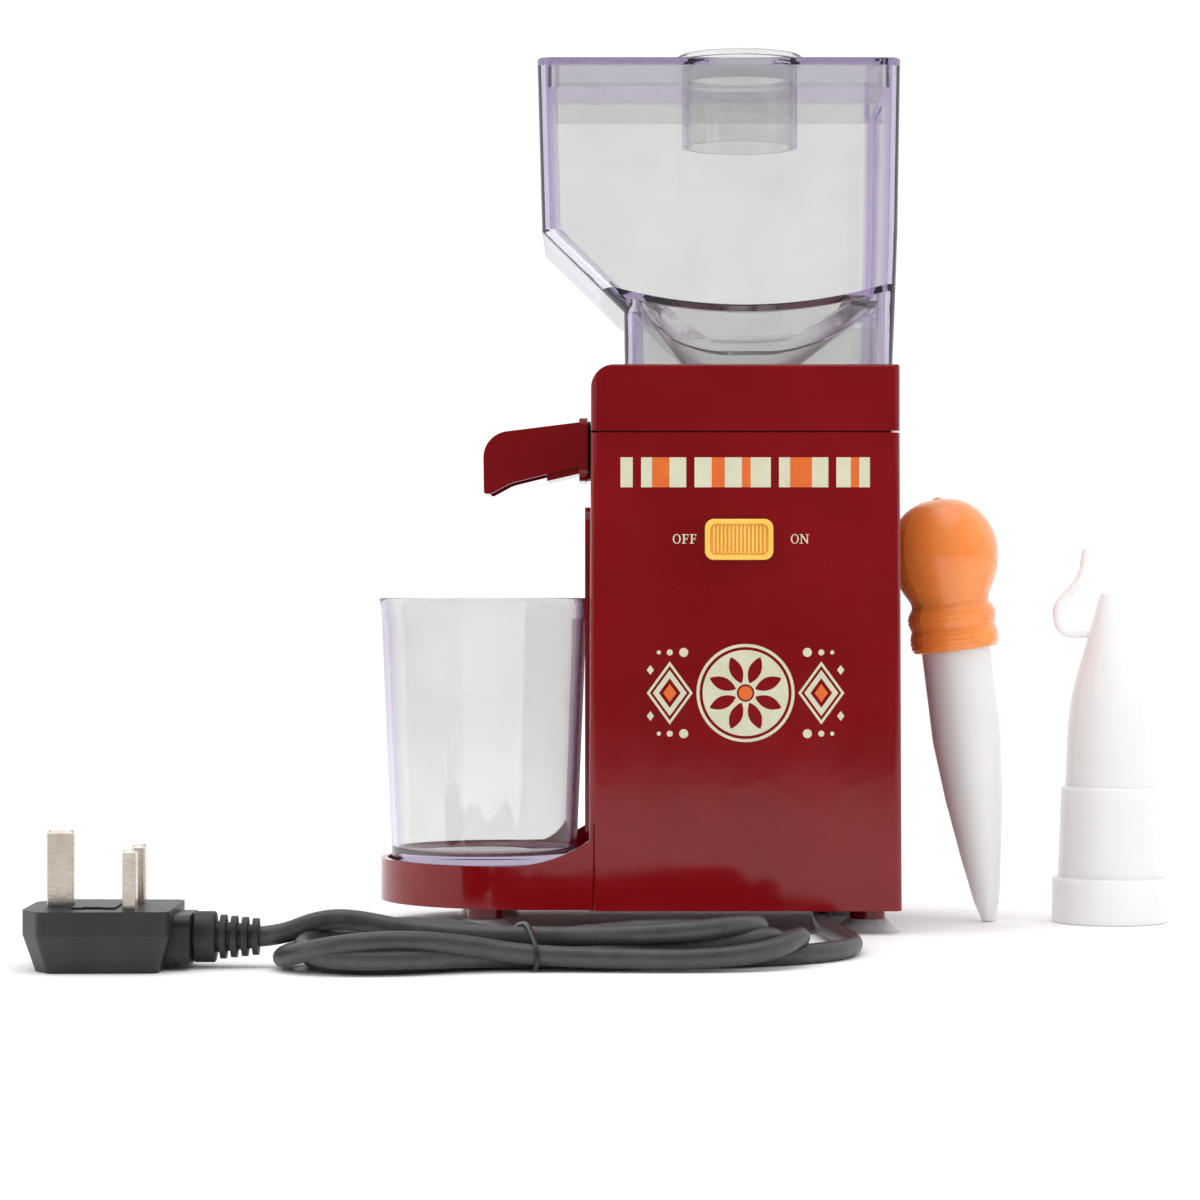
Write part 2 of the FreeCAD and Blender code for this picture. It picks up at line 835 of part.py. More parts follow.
def cup_tray():
    """Tray for the cup, hollow underneath, held by a tongue under the bottom plate."""
    body = prism("top", tray_outline(0), tray_bottom, tray_rim_high + past)
    well = prism("top", tray_outline(tray_skin), tray_floor, tray_rim_high + 2 * past)
    hollow = prism("top", tray_outline(tray_skin), tray_bottom - 1, tray_floor - tray_skin)
    body = body.cut([well, hollow, tray_rim_trim()])
    body = body.cut(housing_block(-seat_gap, tray_bottom - 2, parting_height))
    groove = housing_block(-tray_groove, tray_bottom - 2, parting_height)
    body = body.cut(groove.cut(prism("top", tray_outline(tray_groove), tray_bottom - past, parting_height)))
    bosses = [foot_boss(foot_x_left, y, tray_floor - tray_skin / 2) for y in (-foot_y, foot_y)]
    tongue_top = plate_level - seat_gap
    root_left = -half_width - tongue_root
    tongue = block(root_left, -half_width + tongue_reach, -tongue_half_width, tongue_half_width,
                   tongue_top - tongue_thickness, tongue_top)
    root = block(root_left, root_left + web, -tongue_half_width, tongue_half_width,
                 tongue_top - tongue_thickness, tray_floor - tray_skin / 2)
    solid = joined(body, tongue, root, *bosses)
    holes = [cylinder(foot_stem_radius + press_gap, 0, foot_boss_level + foot_stem_height + 2 * seat_gap,
                      foot_x_left, y) for y in (-foot_y, foot_y)]
    return solid.cut(holes)


def suction_foot(x, y):
    """Soft suction cup with a stem that plugs into its boss."""
    top = foot_boss_level - seat_gap
    under = top - foot_skin
    bell = foot_boss_radius + small_round
    corners = [(0, top + foot_stem_height, 0), (foot_stem_radius, top + foot_stem_height, small_round),
               (foot_stem_radius, top, 0), (bell, top, 2 * small_round),
               (foot_radius - foot_flare, top / 2, foot_curve), (foot_radius, 0, 0),
               (foot_radius - foot_lip, 0, 0), (bell - foot_lip, under, foot_curve), (0, under, 0)]
    return turned(corners, x, y)


# ---------------------------------------------------------------- spout


def outlet_form(inset, start, end):
    """Rounded passage of the outlet's inner size less inset, from start to end along X."""
    across = outlet_half_width - inset
    tall = outlet_half_height - inset
    corners = rectangle(-across, across, outlet_level - tall, outlet_level + tall,
                        max(outlet_round - inset / 2, small_round))
    return prism("side", corners, start, end)


def spout_profile(inset):
    """Hood of the spout seen from the front, moved in by inset; the hollow runs out below."""
    nose = -half_width - spout_reach + inset
    roof = outlet_level + flange_half_height - spout_roof_drop - inset
    low = spout_nose_level - (1 if inset else 0)
    end = spout_root + flange_thickness - small_round
    foot = nose + spout_nose_rake
    return [(end, roof, 0), (nose, roof - spout_top_drop, max(spout_round - inset, 1)),
            (foot, low, 2 * small_round), (foot + spout_nose_width - inset, low, 2 * small_round),
            (nose + spout_cheek_run, spout_nose_level + spout_cheek_rise, spout_cheek_round),
            (end, outlet_level - spout_floor_drop, 0)]


def spout():
    """Chute with a closed hood, open below its nose, on a flange and a sleeve that enters the outlet."""
    hood = prism("front", spout_profile(0), -spout_half_width, spout_half_width)
    clear = spout_half_width - spout_wall
    hollow = prism("front", spout_profile(spout_wall), -clear, clear)
    floor = outlet_level - spout_floor_drop
    nose = -half_width - spout_reach + spout_wall + spout_nose_rake
    open_low = spout_nose_level - past
    below = prism("front", [(spout_root + past, floor, 0), (spout_tongue_left, open_low, 0),
                            (nose, open_low, 0), (nose, floor, spout_nose_width),
                            (spout_root, floor + spout_tongue_reach / 2, 0)], -clear, clear)
    lip = floor - spout_tongue_fall
    tongue = prism("front", [(spout_root + 1, floor, 0), (spout_tongue_left, lip, small_round),
                             (spout_tongue_left, lip - spout_tongue_thickness, small_round),
                             (spout_root + 1, floor - spout_tongue_thickness - small_round, 0)],
                   -clear - spout_wall / 4, clear + spout_wall / 4)
    flange = prism("side", rectangle(-flange_half_width, flange_half_width,
                                     outlet_level - flange_half_height,
                                     outlet_level + flange_half_height, flange_round),
                   spout_root, spout_root + flange_thickness)
    sleeve_end = spout_root + flange_thickness + sleeve_depth
    sleeve = outlet_form(fit_gap, spout_root, sleeve_end)
    bore = outlet_form(fit_gap + sleeve_wall, spout_root - flange_thickness, sleeve_end + 1)
    solid = joined(hood.cut([hollow, below]), tongue, flange, sleeve)
    return solid.cut(bore)


# ---------------------------------------------------------------- grinding parts


def grinding_chamber():
    """Burr chamber on a skirt that stands on the motor plate, with its outlet through the side wall."""
    low = mount_top + seat_gap
    outer = cylinder(chamber_outer_radius, low, chamber_top)
    inside = cylinder(chamber_radius, chamber_floor_top, chamber_top + 1)
    below = cylinder(chamber_radius, low - 1, chamber_floor_low)
    socket_end = -half_width - outlet_proud
    socket = outlet_form(-outlet_wall, socket_end, -chamber_radius + chamber_wall)
    socket = socket.common(block(socket_end, 0, -half_depth, half_depth, low, chamber_top))
    bore = outlet_form(0, socket_end - 1, -chamber_radius + past)
    seat_low = chamber_floor_low - bush_drop
    hub = cylinder(bush_seat_radius + bush_seat_wall, seat_low, chamber_floor_top)
    seat = cylinder(bush_seat_radius + press_gap, seat_low - 1, chamber_floor_top + 1)
    lugs = []
    lug_end = chamber_outer_radius + chamber_lug_reach
    hole_x = chamber_outer_radius + chamber_lug_reach / 2
    for angle in (45, 135, 225, 315):
        lug = block(chamber_outer_radius - chamber_wall / 2, lug_end, -chamber_lug_width / 2,
                    chamber_lug_width / 2, low, low + chamber_lug_thickness)
        hole = cylinder(mount_hole_radius, low - 1, low + past + 1, hole_x)
        lugs.append(around(lug.cut(hole), angle))
    windows = []
    for angle in (0, 90, 270):
        window = block(chamber_radius - past, chamber_outer_radius + past, -chamber_window_width / 2,
                       chamber_window_width / 2, low + chamber_window_margin,
                       chamber_floor_low - chamber_window_margin)
        windows.append(around(window, angle))
    solid = joined(outer.cut([inside, below]), socket, hub, *lugs)
    return solid.cut([inside, seat, bore] + windows)


def chamber_cap():
    """Closes the chamber, carries the fixed burr and receives the hopper's throat."""
    collar = socket_radius + cap_collar_wall
    cap_top = cap_bottom + cap_plate
    corners = [(burr_hole_radius, cap_bottom, 0), (chamber_outer_radius, cap_bottom, 0),
               (chamber_outer_radius, cap_top, 2 * small_round), (collar, cap_top, cap_collar_wall / 2),
               (collar, cap_collar_top, small_round), (socket_radius, cap_collar_top, small_round),
               (socket_radius, throat_end - 2 * loose_gap, 0), (burr_hole_radius, cap_top, 0)]
    rim = ring(chamber_radius - fit_gap, fixed_burr_radius - cap_rim_width, fixed_burr_top + seat_gap,
               cap_bottom + 1)
    return joined(turned(corners), rim)


def burr_teeth(radius, inner, base, height):
    """Straight skewed ridges round a burr's face."""
    teeth = []
    for index in range(tooth_count):
        tooth = block(inner, radius, -tooth_width / 2, tooth_width / 2, base, base + height)
        tooth.rotate(vector(inner, 0, 0), vector(0, 0, 1), tooth_skew)
        teeth.append(around(tooth, index * 360.0 / tooth_count))
    return teeth


def fixed_burr():
    """Steel ring with grooves cut into its lower face."""
    body = turned([(burr_hole_radius, fixed_burr_bottom, 2 * small_round),
                   (fixed_burr_radius, fixed_burr_bottom, small_round),
                   (fixed_burr_radius, fixed_burr_top, small_round),
                   (burr_hole_radius, fixed_burr_top, small_round)])
    return body.cut(burr_teeth(fixed_burr_radius + past, burr_hole_radius - tooth_width,
                               fixed_burr_bottom - 1, tooth_height + 1))


def rotating_burr():
    """Steel disc with ridges on top, a hub, and wipers below that push the butter to the outlet."""
    disc = turned([(spindle_radius + press_gap, rotating_burr_bottom, 0),
                   (rotating_burr_radius, rotating_burr_bottom, small_round),
                   (rotating_burr_radius, rotating_burr_top, small_round),
                   (spindle_radius + press_gap, rotating_burr_top, 0)])
    root = rotating_burr_top - tooth_height / 2
    crest = rotating_burr_top + tooth_height
    teeth = burr_teeth(rotating_burr_radius + tooth_width, burr_hole_radius + tooth_width, root,
                       crest - root)
    limit = ring(rotating_burr_radius, burr_hole_radius, root, crest)
    wipers = []
    for index in range(wiper_count):
        wiper = block(bush_flange_radius + wiper_gap, chamber_radius - wiper_gap, -wiper_thickness / 2,
                      wiper_thickness / 2, chamber_floor_top + loose_gap, rotating_burr_bottom + 1)
        wipers.append(around(wiper, (index + 0.5) * 360.0 / wiper_count))
    trimmed = [tooth.common(limit) for tooth in teeth]
    return joined(disc, *trimmed, *wipers)


def feed_screw():
    """Vertical screw that draws the nuts from the hopper's throat down to the burrs."""
    low = rotating_burr_top + seat_gap
    blade_low = fixed_burr_top - fixed_burr_thickness / 2
    height = screw_pitch * screw_turns
    core_top = blade_low + height + screw_blade + screw_cap - spindle_end_gap
    bore = spindle_radius + press_gap
    core = turned([(0, core_top, 0), (screw_core_radius, core_top, screw_nose_round),
                   (screw_core_radius, low, 0), (bore, low, 0), (bore, core_top - screw_cap, 0),
                   (0, core_top - screw_cap, 0)])
    helix = Part.makeHelix(screw_pitch, height, screw_radius)
    root = screw_core_radius - small_round
    taper = screw_blade / 4
    profile = Part.makePolygon([vector(root, 0, 0), vector(screw_radius, 0, taper),
                                vector(screw_radius, 0, screw_blade - taper), vector(root, 0, screw_blade),
                                vector(root, 0, 0)])
    blade = Part.Wire(helix.Edges).makePipeShell([profile], True, True)
    blade.translate(vector(0, 0, blade_low))
    return joined(core, blade).cut(cylinder(bore, low - 1, core_top - screw_cap))


def bearing_bush():
    low = chamber_floor_low - bush_drop
    bore = spindle_radius + running_gap
    flange_top = chamber_floor_top + bush_flange
    return turned([(bore, low, small_round), (bush_seat_radius, low, small_round),
                   (bush_seat_radius, chamber_floor_top, 0), (bush_flange_radius, chamber_floor_top, 0),
                   (bush_flange_radius, flange_top, small_round), (bore, flange_top, small_round)])


def shaft_seal():
    """Lipped ring on the bush that keeps the butter off the shaft."""
    low = chamber_floor_top + bush_flange + seat_gap
    bore = spindle_radius + running_gap
    top = min(low + seal_height, rotating_burr_bottom - loose_gap)
    return turned([(bore, low, 0), (bush_flange_radius - 2 * small_round, low, small_round),
                   (bush_flange_radius - 4 * small_round, top, small_round), (bore, top, 0)])


def outlet_gasket():
    """Soft ring between the outlet's end and the spout's flange."""
    start = -half_width - flange_offset + seat_gap / 2
    end = -half_width - outlet_proud - seat_gap / 2
    return outlet_form(-outlet_wall, start, end).cut(outlet_form(0, start - 1, end + 1))


# ---------------------------------------------------------------- drive


def drive_coupling():
    """Jaw coupling between the motor shaft and the spindle."""
    high = coupling_low + coupling_height
    flanges = [cylinder(coupling_radius, coupling_low, coupling_low + coupling_flange),
               cylinder(coupling_radius, high - coupling_flange, high)]
    core = cylinder(coupling_radius / 2 + 1, coupling_low, high)
    span = 360.0 / coupling_jaws
    jaws = []
    for index in range(coupling_jaws):
        jaw = Part.makeCylinder(coupling_radius, coupling_height - 2 * coupling_flange + 1,
                                vector(0, 0, coupling_low + coupling_flange - 1), vector(0, 0, 1),
                                span / 2 - coupling_jaw_gap)
        jaws.append(around(jaw, index * span))
    solid = joined(core, *flanges, *jaws)
    motor_end = cylinder(motor_shaft_radius + press_gap, coupling_low - 1, coupling_middle)
    spindle_end = cylinder(spindle_radius + press_gap, coupling_middle, high + 1)
    return solid.cut([motor_end, spindle_end])


def rod(radius, low, high):
    """Straight shaft with broken edges."""
    return turned([(0, low, 0), (radius, low, small_round), (radius, high, small_round), (0, high, 0)])


def motor_shaft():
    return rod(motor_shaft_radius, fan_level - shaft_overhang, coupling_middle - seat_gap)


def spindle():
    blade_top = fixed_burr_top - fixed_burr_thickness / 2 + screw_pitch * screw_turns + screw_blade
    return rod(spindle_radius, coupling_middle + seat_gap, blade_top - spindle_end_gap - seat_gap)


def motor_can():
    """Steel can of the motor, closed at the top by a boss for the bearing."""
    top = motor_top
    boss_top = mount_level - seat_gap
    inner = motor_radius - motor_wall
    bore = motor_shaft_radius + running_gap
    return turned([(bore, top - motor_wall, 0), (inner, top - motor_wall, small_round),
                   (inner, motor_bottom, 0), (motor_radius, motor_bottom, 0),
                   (motor_radius, top, motor_wall), (motor_neck_radius, top, small_round),
                   (motor_neck_radius, boss_top, small_round), (bore, boss_top, 0)])


def motor_end_cap():
    """Lower bearing plate of the motor, with openings for the cooling air."""
    inner = motor_radius - motor_wall - press_gap
    bore = motor_shaft_radius + running_gap
    low = motor_bottom - motor_cap_depth
    high = motor_bottom + motor_cap_depth
    seat = motor_bottom - seat_gap
    solid = turned([(bore, low, 0), (motor_radius, low, small_round), (motor_radius, seat, 0),
                    (inner, seat, 0), (inner, high, small_round), (bore, high, 0)])
    slots = []
    for index in range(motor_vent_count):
        slot = block(motor_vent_inner, motor_vent_outer, -motor_vent_width / 2, motor_vent_width / 2,
                     low - 1, high + 1)
        slots.append(around(slot, index * 360.0 / motor_vent_count))
    return solid.cut(slots)


def stator_magnet(side):
    """One of the two magnet shells inside the can."""
    outer = motor_radius - motor_wall - press_gap
    inner = outer - magnet_thickness
    low = motor_bottom + rotor_margin
    high = motor_top - rotor_margin
    shell = Part.makeCylinder(outer, high - low, vector(0, 0, low), vector(0, 0, 1), magnet_arc)
    shell = shell.cut(cylinder(inner, low - 1, high + 1))
    return around(shell, side * 180 - magnet_arc / 2)


def rotor_core():
    """Slotted iron core on the motor shaft."""
    outer = motor_radius - motor_wall - press_gap - magnet_thickness - air_gap
    low = motor_bottom + rotor_margin
    high = motor_top - rotor_margin
    core = ring(outer, motor_shaft_radius + press_gap, low, high)
    slots = []
    for index in range(rotor_slots):
        slot = block(outer - slot_depth, outer + 1, -slot_width / 2, slot_width / 2, low - 1, high + 1)
        slots.append(around(slot, index * 360.0 / rotor_slots))
    return core.cut(slots)


def cooling_fan():
    """Radial fan under the motor."""
    top = fan_level + fan_height
    disc = cylinder(fan_radius, top - fan_disc, top)
    hub = cylinder(fan_hub_radius, fan_level, top)
    blades = []
    for index in range(fan_blades):
        blade = block(fan_hub_radius - fan_blade / 2, fan_radius - fan_blade / 2, -fan_blade / 2,
                      fan_blade / 2, fan_level, top - fan_disc / 2)
        blades.append(around(blade, index * 360.0 / fan_blades))
    solid = joined(disc, hub, *blades)
    return solid.cut(cylinder(motor_shaft_radius + press_gap, fan_level - 1, top + 1))


def motor_mount_plate():
    """Square steel plate that carries the motor below and the chamber above."""
    across = post_x + mount_margin
    deep = post_y + mount_margin
    corners = rectangle(-across, across, -deep, deep, mount_margin)
    plate = prism("top", corners, mount_level, mount_top)
    cuts = [cylinder(motor_neck_radius - mount_hole_margin, mount_level - 1, mount_top + 1)]
    for x in (-post_x, post_x):
        for y in (-post_y, post_y):
            cuts.append(cylinder(mount_hole_radius, mount_level - 1, mount_top + 1, x, y))
    return plate.cut(cuts)


def motor_post(x, y):
    low = plate_top + seat_gap
    high = mount_level - seat_gap
    return ring(post_radius, post_bore, low, high, x, y)


# ---------------------------------------------------------------- switch and electrics


def front_face(z):
    """Place of the front wall's outer face at height z."""
    return -(half_depth + flare(z))


def switch_button():
    """Slide button with a raised rim and upright grip ribs, on a stem through the front wall."""
    back = front_face(button_z) - fit_gap
    face = back - button_thickness
    left = button_x - button_width / 2
    right = button_x + button_width / 2
    low = button_z - button_height / 2
    high = button_z + button_height / 2
    body = prism("front", rectangle(left, right, low, high, button_round), face, back)
    body = body.makeFillet(small_round, [edge for edge in body.Edges if edge.BoundBox.YMax < face + slight])
    field = prism("front", rectangle(left + button_rim, right - button_rim, low + button_rim,
                                     high - button_rim, button_round - button_rim / 2),
                  face - 1, face + button_recess)
    body = body.cut(field)
    ribs = []
    pitch = (button_width - 2 * button_rim) / (button_ribs + 1)
    for index in range(button_ribs):
        x = left + button_rim + (index + 1) * pitch
        ribs.append(block(x - rib_width / 2, x + rib_width / 2, face + button_recess / 3,
                          face + button_recess + rib_width / 3, low + button_rim + rib_width,
                          high - button_rim - rib_width))
    inner_face = front_face(button_z) + wall
    stem = block(button_x - stem_width / 2, button_x + stem_width / 2, back - fit_gap,
                 inner_face + fit_gap + slider_thickness / 2, button_z - stem_height / 2,
                 button_z + stem_height / 2)
    return joined(body, stem, *ribs)


def switch_slider():
    """Contact slider that the stem carries along behind the wall."""
    inner_face = front_face(button_z) + wall
    start = inner_face + fit_gap
    tall = slider_height / 2
    solid = block(button_x - slider_width / 2, button_x + slider_width / 2, start, start + slider_thickness,
                  button_z - tall, button_z + tall)
    across = stem_width / 2 + press_gap
    upright = stem_height / 2 + press_gap
    pocket = block(button_x - across, button_x + across, start - 1, start + slider_thickness / 2 + seat_gap,
                   button_z - upright, button_z + upright)
    return solid.cut(pocket)


def switch_housing():
    """Moulded case behind the front wall in which the slider runs, with two fixing lugs and terminals."""
    start = front_face(button_z) + wall + seat_gap
    left = button_x - slider_width / 2 - fit_gap
    right = button_x + slider_width / 2 + button_travel + fit_gap
    low = button_z - slider_height / 2 - fit_gap
    high = button_z + slider_height / 2 + fit_gap
    case = block(left - switch_margin, right + switch_margin, start, start + switch_depth,
                 low - switch_margin, high + switch_margin)
    lugs = block(left - switch_margin - switch_lug, right + switch_margin + switch_lug, start,
                 start + switch_margin, button_z - slider_height / 2, button_z + slider_height / 2)
    room = block(left, right, start - 1, start + slider_thickness + 2 * fit_gap, low, high)
    holes = []
    for x in (left - switch_margin - switch_lug / 2, right + switch_margin + switch_lug / 2):
        holes.append(Part.makeCylinder(lug_hole_radius, switch_margin + 2, vector(x, start - 1, button_z),
                                       vector(0, 1, 0)))
    terminals = []
    for index in (-1, 0, 1):
        x = (left + right) / 2 + index * terminal_pitch
        terminals.append(block(x - terminal_width / 2, x + terminal_width / 2, start + switch_depth - 1,
                               start + switch_depth + terminal_length, button_z - terminal_thickness / 2,
                               button_z + terminal_thickness / 2))
    return joined(case, lugs, *terminals).cut([room] + holes)


def circuit_board():
    """Board on four spacers at the rear wall."""
    wall_face = half_depth + flare(board_level + board_height) - wall - seat_gap
    back = wall_face - board_spacer
    low, high = board_level, board_level + board_height
    board = block(-board_width / 2, board_width / 2, back - board_thickness, back, low, high)
    spacers = []
    inset = board_hole_inset
    for x in (-board_width / 2 + inset, board_width / 2 - inset):
        for z in (low + inset, high - inset):
            spacers.append(Part.makeCylinder(board_spacer_radius, board_spacer + board_thickness / 2,
                                             vector(x, back - board_thickness / 2, z), vector(0, 1, 0)))
    return joined(board, *spacers)


def capacitor():
    wall_face = half_depth + flare(board_level + board_height) - wall - seat_gap
    back = wall_face - board_spacer - board_thickness - seat_gap
    left = -board_width / 2 + capacitor_inset
    low = board_level + board_height - capacitor_height - capacitor_inset
    return prism("front", rectangle(left, left + capacitor_width, low, low + capacitor_height, 1.0),
                 back - capacitor_depth, back)


# ---------------------------------------------------------------- hopper and lid


def hopper_section(z, inset):
    """Size of the hopper at height z, moved in by inset: left, right and half depth."""
    levels = [(head_top, hopper_left_foot, hopper_right_foot),
              (hopper_waist, hopper_left_waist, hopper_right_waist),
              (hopper_shoulder, hopper_left_shoulder, hopper_right_shoulder),
              (hopper_top, hopper_left_top, hopper_right_top)]
    lower, upper = levels[0], levels[1]
    for first, second in zip(levels, levels[1:]):
        if z >= first[0]:
            lower, upper = first, second
    share = (z - lower[0]) / (upper[0] - lower[0])
    left = lower[1] + share * (upper[1] - lower[1])
    right = lower[2] + share * (upper[2] - lower[2])
    rise = (z - head_top) / (hopper_top - head_top)
    deep = (hopper_depth_foot + rise * (hopper_depth_top - hopper_depth_foot)) / 2
    return z, left + inset, right - inset, deep - inset, hopper_round - inset / 2


def throat_section(z, radius):
    """Round section of the throat, with the same eight edges as the hopper's other sections."""
    return z, -radius, radius, radius, radius - slight


def slanted(inset):
    """Levels at which the wall, moved in by inset, turns into the slant and out of it."""
    run = hopper_left_waist - hopper_left_shoulder
    rise = hopper_shoulder - hopper_waist
    shift = inset * (math.hypot(run, rise) - rise) / run
    return hopper_waist + shift, hopper_shoulder + shift


def floor_form(drop):
    """Everything below the hopper's bowed floor, lowered by drop."""
    level = floor_level - drop
    reach = hopper_depth_top
    slab = block(-reach, reach, -reach, reach, throat_end, hopper_shoulder)
    bow = Part.makeCylinder(floor_bow, 2 * reach + 2, vector(0, -reach - 1, level + floor_bow),
                            vector(0, 1, 0))
    return slab.cut(bow)


def hopper():
    """Clear hopper with a slanted side, a funnel floor and a throat that enters the chamber cap."""
    bottom = head_top + seat_gap
    outer = lofted([hopper_section(z, 0) for z in (bottom, hopper_waist, hopper_shoulder, hopper_top)])
    throat = lofted([throat_section(z, throat_outer_radius) for z in (throat_end, funnel_end)])
    waist, shoulder = slanted(hopper_wall)
    low = (funnel_end,) + hopper_section(hopper_waist, hopper_wall)[1:]
    bend = (waist,) + low[1:]
    mouth = (funnel_rim, bend[1] + funnel_ledge, bend[2] - funnel_ledge, bend[3] - funnel_ledge,
             bend[4] + funnel_corner)
    shoulder_section = (shoulder,) + hopper_section(hopper_shoulder, hopper_wall)[1:]
    top = hopper_section(hopper_top, hopper_wall)
    above = lofted([low, bend, shoulder_section, top, (hopper_top + 1,) + top[1:]]).cut(floor_form(0))
    passage = lofted([throat_section(throat_end - 1, throat_radius),
                      throat_section(funnel_end, throat_radius), mouth])
    skirt = lofted([hopper_section(bottom - 1, hopper_wall),
                    (funnel_rim + past,) + hopper_section(hopper_waist, hopper_wall)[1:]])
    skirt = skirt.common(floor_form(hopper_wall))
    funnel = lofted([throat_section(throat_end - 1, throat_outer_radius),
                     throat_section(funnel_end, throat_outer_radius),
                     (funnel_rim - throat_wall, mouth[1] - hopper_wall, mouth[2] + hopper_wall,
                      mouth[3] + hopper_wall, mouth[4])])
    skirt = skirt.cut(funnel)
    for y in (-hopper_depth_foot / 4, hopper_depth_foot / 4):
        skirt = skirt.cut(block(-half_width, half_width, y - gusset_thickness / 2,
                                y + gusset_thickness / 2, 0, hopper_waist))
    solid = joined(outer, throat)
    return solid.cut([above, passage, skirt])


def hopper_lid():
    """Lid flush with the hopper, with a skirt inside the walls and the flanged neck."""
    top = hopper_section(hopper_top, 0)
    plate = lofted([(z,) + top[1:] for z in (lid_low, lid_high)])
    plate = plate.makeFillet(lid_edge_round,
                             [edge for edge in plate.Edges if edge.BoundBox.ZMin > lid_high - slight])
    skirt_low = hopper_top - lid_skirt_depth
    middle = hopper_top - lid_skirt_depth / 2
    outer = hopper_section(middle, hopper_wall + 2 * fit_gap)
    inner = hopper_section(middle, hopper_wall + 2 * fit_gap + lid_skirt_wall)
    skirt = lofted([(z,) + outer[1:] for z in (skirt_low, lid_low + lid_thickness / 2)])
    skirt = skirt.cut(lofted([(z,) + inner[1:] for z in (skirt_low - 1, lid_high)]))
    neck = cylinder(neck_radius, neck_bottom, neck_top)
    flange_low = neck_top - neck_flange_thickness
    flange = turned([(0, flange_low, 0), (neck_flange_radius, flange_low, neck_flange_round),
                     (neck_flange_radius, neck_top, neck_flange_round), (0, neck_top, 0)])
    solid = joined(plate, skirt, neck, flange)
    return solid.cut(cylinder(neck_bore, neck_bottom - 1, neck_top + 1))


# ---------------------------------------------------------------- cup


def cup():
    """Clear tapered cup with a thick floor, a stepped inner rim and a thumb tab."""
    low = cup_bottom
    top = cup_rim_top
    rim_low = top - cup_rim_height
    wall_top = cup_rim_radius - cup_lip
    step = top - cup_step_depth
    floor = low + cup_floor
    outer = [(0, low, 0), (cup_foot_radius, low, cup_foot_round), (wall_top, rim_low, 0),
             (cup_rim_radius, rim_low, cup_lip / 3), (cup_rim_radius, top, small_round)]
    step_outer = wall_top - cup_step_wall
    inner = [(step_outer, top, small_round), (step_outer - cup_lip / 2, step, 0),
             (wall_top - cup_wall - cup_lip / 2, step, 0),
             (cup_foot_radius - cup_wall, floor, cup_foot_round), (0, floor, 0)]
    body = turned(outer + inner, cup_x, 0)
    tab = block(cup_x + wall_top - cup_step_wall, cup_x + cup_rim_radius - cup_lip / 3, -cup_tab_width / 2,
                cup_tab_width / 2, rim_low - cup_tab_height, rim_low + cup_rim_height / 4)
    return joined(body, tab)


# ---------------------------------------------------------------- dropper and its sleeve


bulb_low = dropper_bulb_start + 2 * bead_height
bulb_middle = (bulb_low + bulb_top) / 2
lean_angle = math.radians(dropper_lean)
bulb_rest_x = half_width + flare(bulb_middle) + dropper_wall_gap + bulb_radius
dropper_tip_x = bulb_rest_x + bulb_middle * math.sin(lean_angle)
sleeve_x = dropper_tip_x + dropper_tube_radius + sleeve_gap_to_dropper + collar_radius


def lean(shape):
    """Leans a dropper piece against the housing's right wall, its tip on the floor."""
    shape.rotate(vector(0, 0, 0), vector(0, 1, 0), -dropper_lean)
    shape.translate(vector(dropper_tip_x, 0, dropper_tip_radius * math.sin(lean_angle) + floor_lift))
    return shape


def dropper_tube():
    """Clear tapered tube, open at the tip."""
    stations = [(dropper_tip_radius, 0)]
    stations += [(share * dropper_tube_radius, level * dropper_taper_end) for share, level in dropper_taper]
    stations.append((dropper_tube_radius, dropper_taper_end))
    outer = []
    inner = []
    for radius, level in stations:
        curve = dropper_curve * level / dropper_taper_end
        outer.append((radius, level, curve))
        inner.insert(0, (radius - dropper_wall, level, curve))
    top = [(dropper_tube_radius, bulb_low, 0), (dropper_tube_radius - dropper_wall, bulb_low, 0)]
    return lean(turned(outer + top + inner))


def dropper_bulb():
    """Rubber bulb with two beads, pushed over the tube."""
    bore = dropper_tube_radius + fit_gap
    low = dropper_bulb_start
    groove = low + bead_height
    bead_end = bead_round / 5
    inner_radius = bulb_radius - bulb_wall
    inner_neck = bulb_neck_radius - bulb_wall
    inner_top = bulb_top - bulb_wall
    outer = [(bore, low, 0), (bead_radius, low, bead_round), (bead_radius, groove - bead_end, bead_round),
             (bead_radius - bead_groove, groove, 0), (bead_radius, groove + bead_end, bead_round),
             (bead_radius, bulb_low, bead_round), (bulb_neck_radius, bulb_low + bead_groove, 1.0),
             (bulb_radius, bulb_low + bulb_shoulder, bulb_radius / 2), (bulb_radius, bulb_top, bulb_crown),
             (0, bulb_top, 0)]
    inner = [(0, inner_top, 0), (inner_radius, inner_top, bulb_crown - bulb_wall),
             (inner_radius, bulb_low + bulb_shoulder, bulb_radius / 2 - bulb_wall),
             (inner_neck, bulb_low + bulb_wall, 0), (inner_neck, bulb_low + fit_gap, 0),
             (bore, bulb_low + fit_gap, 0)]
    return lean(turned(outer + inner))


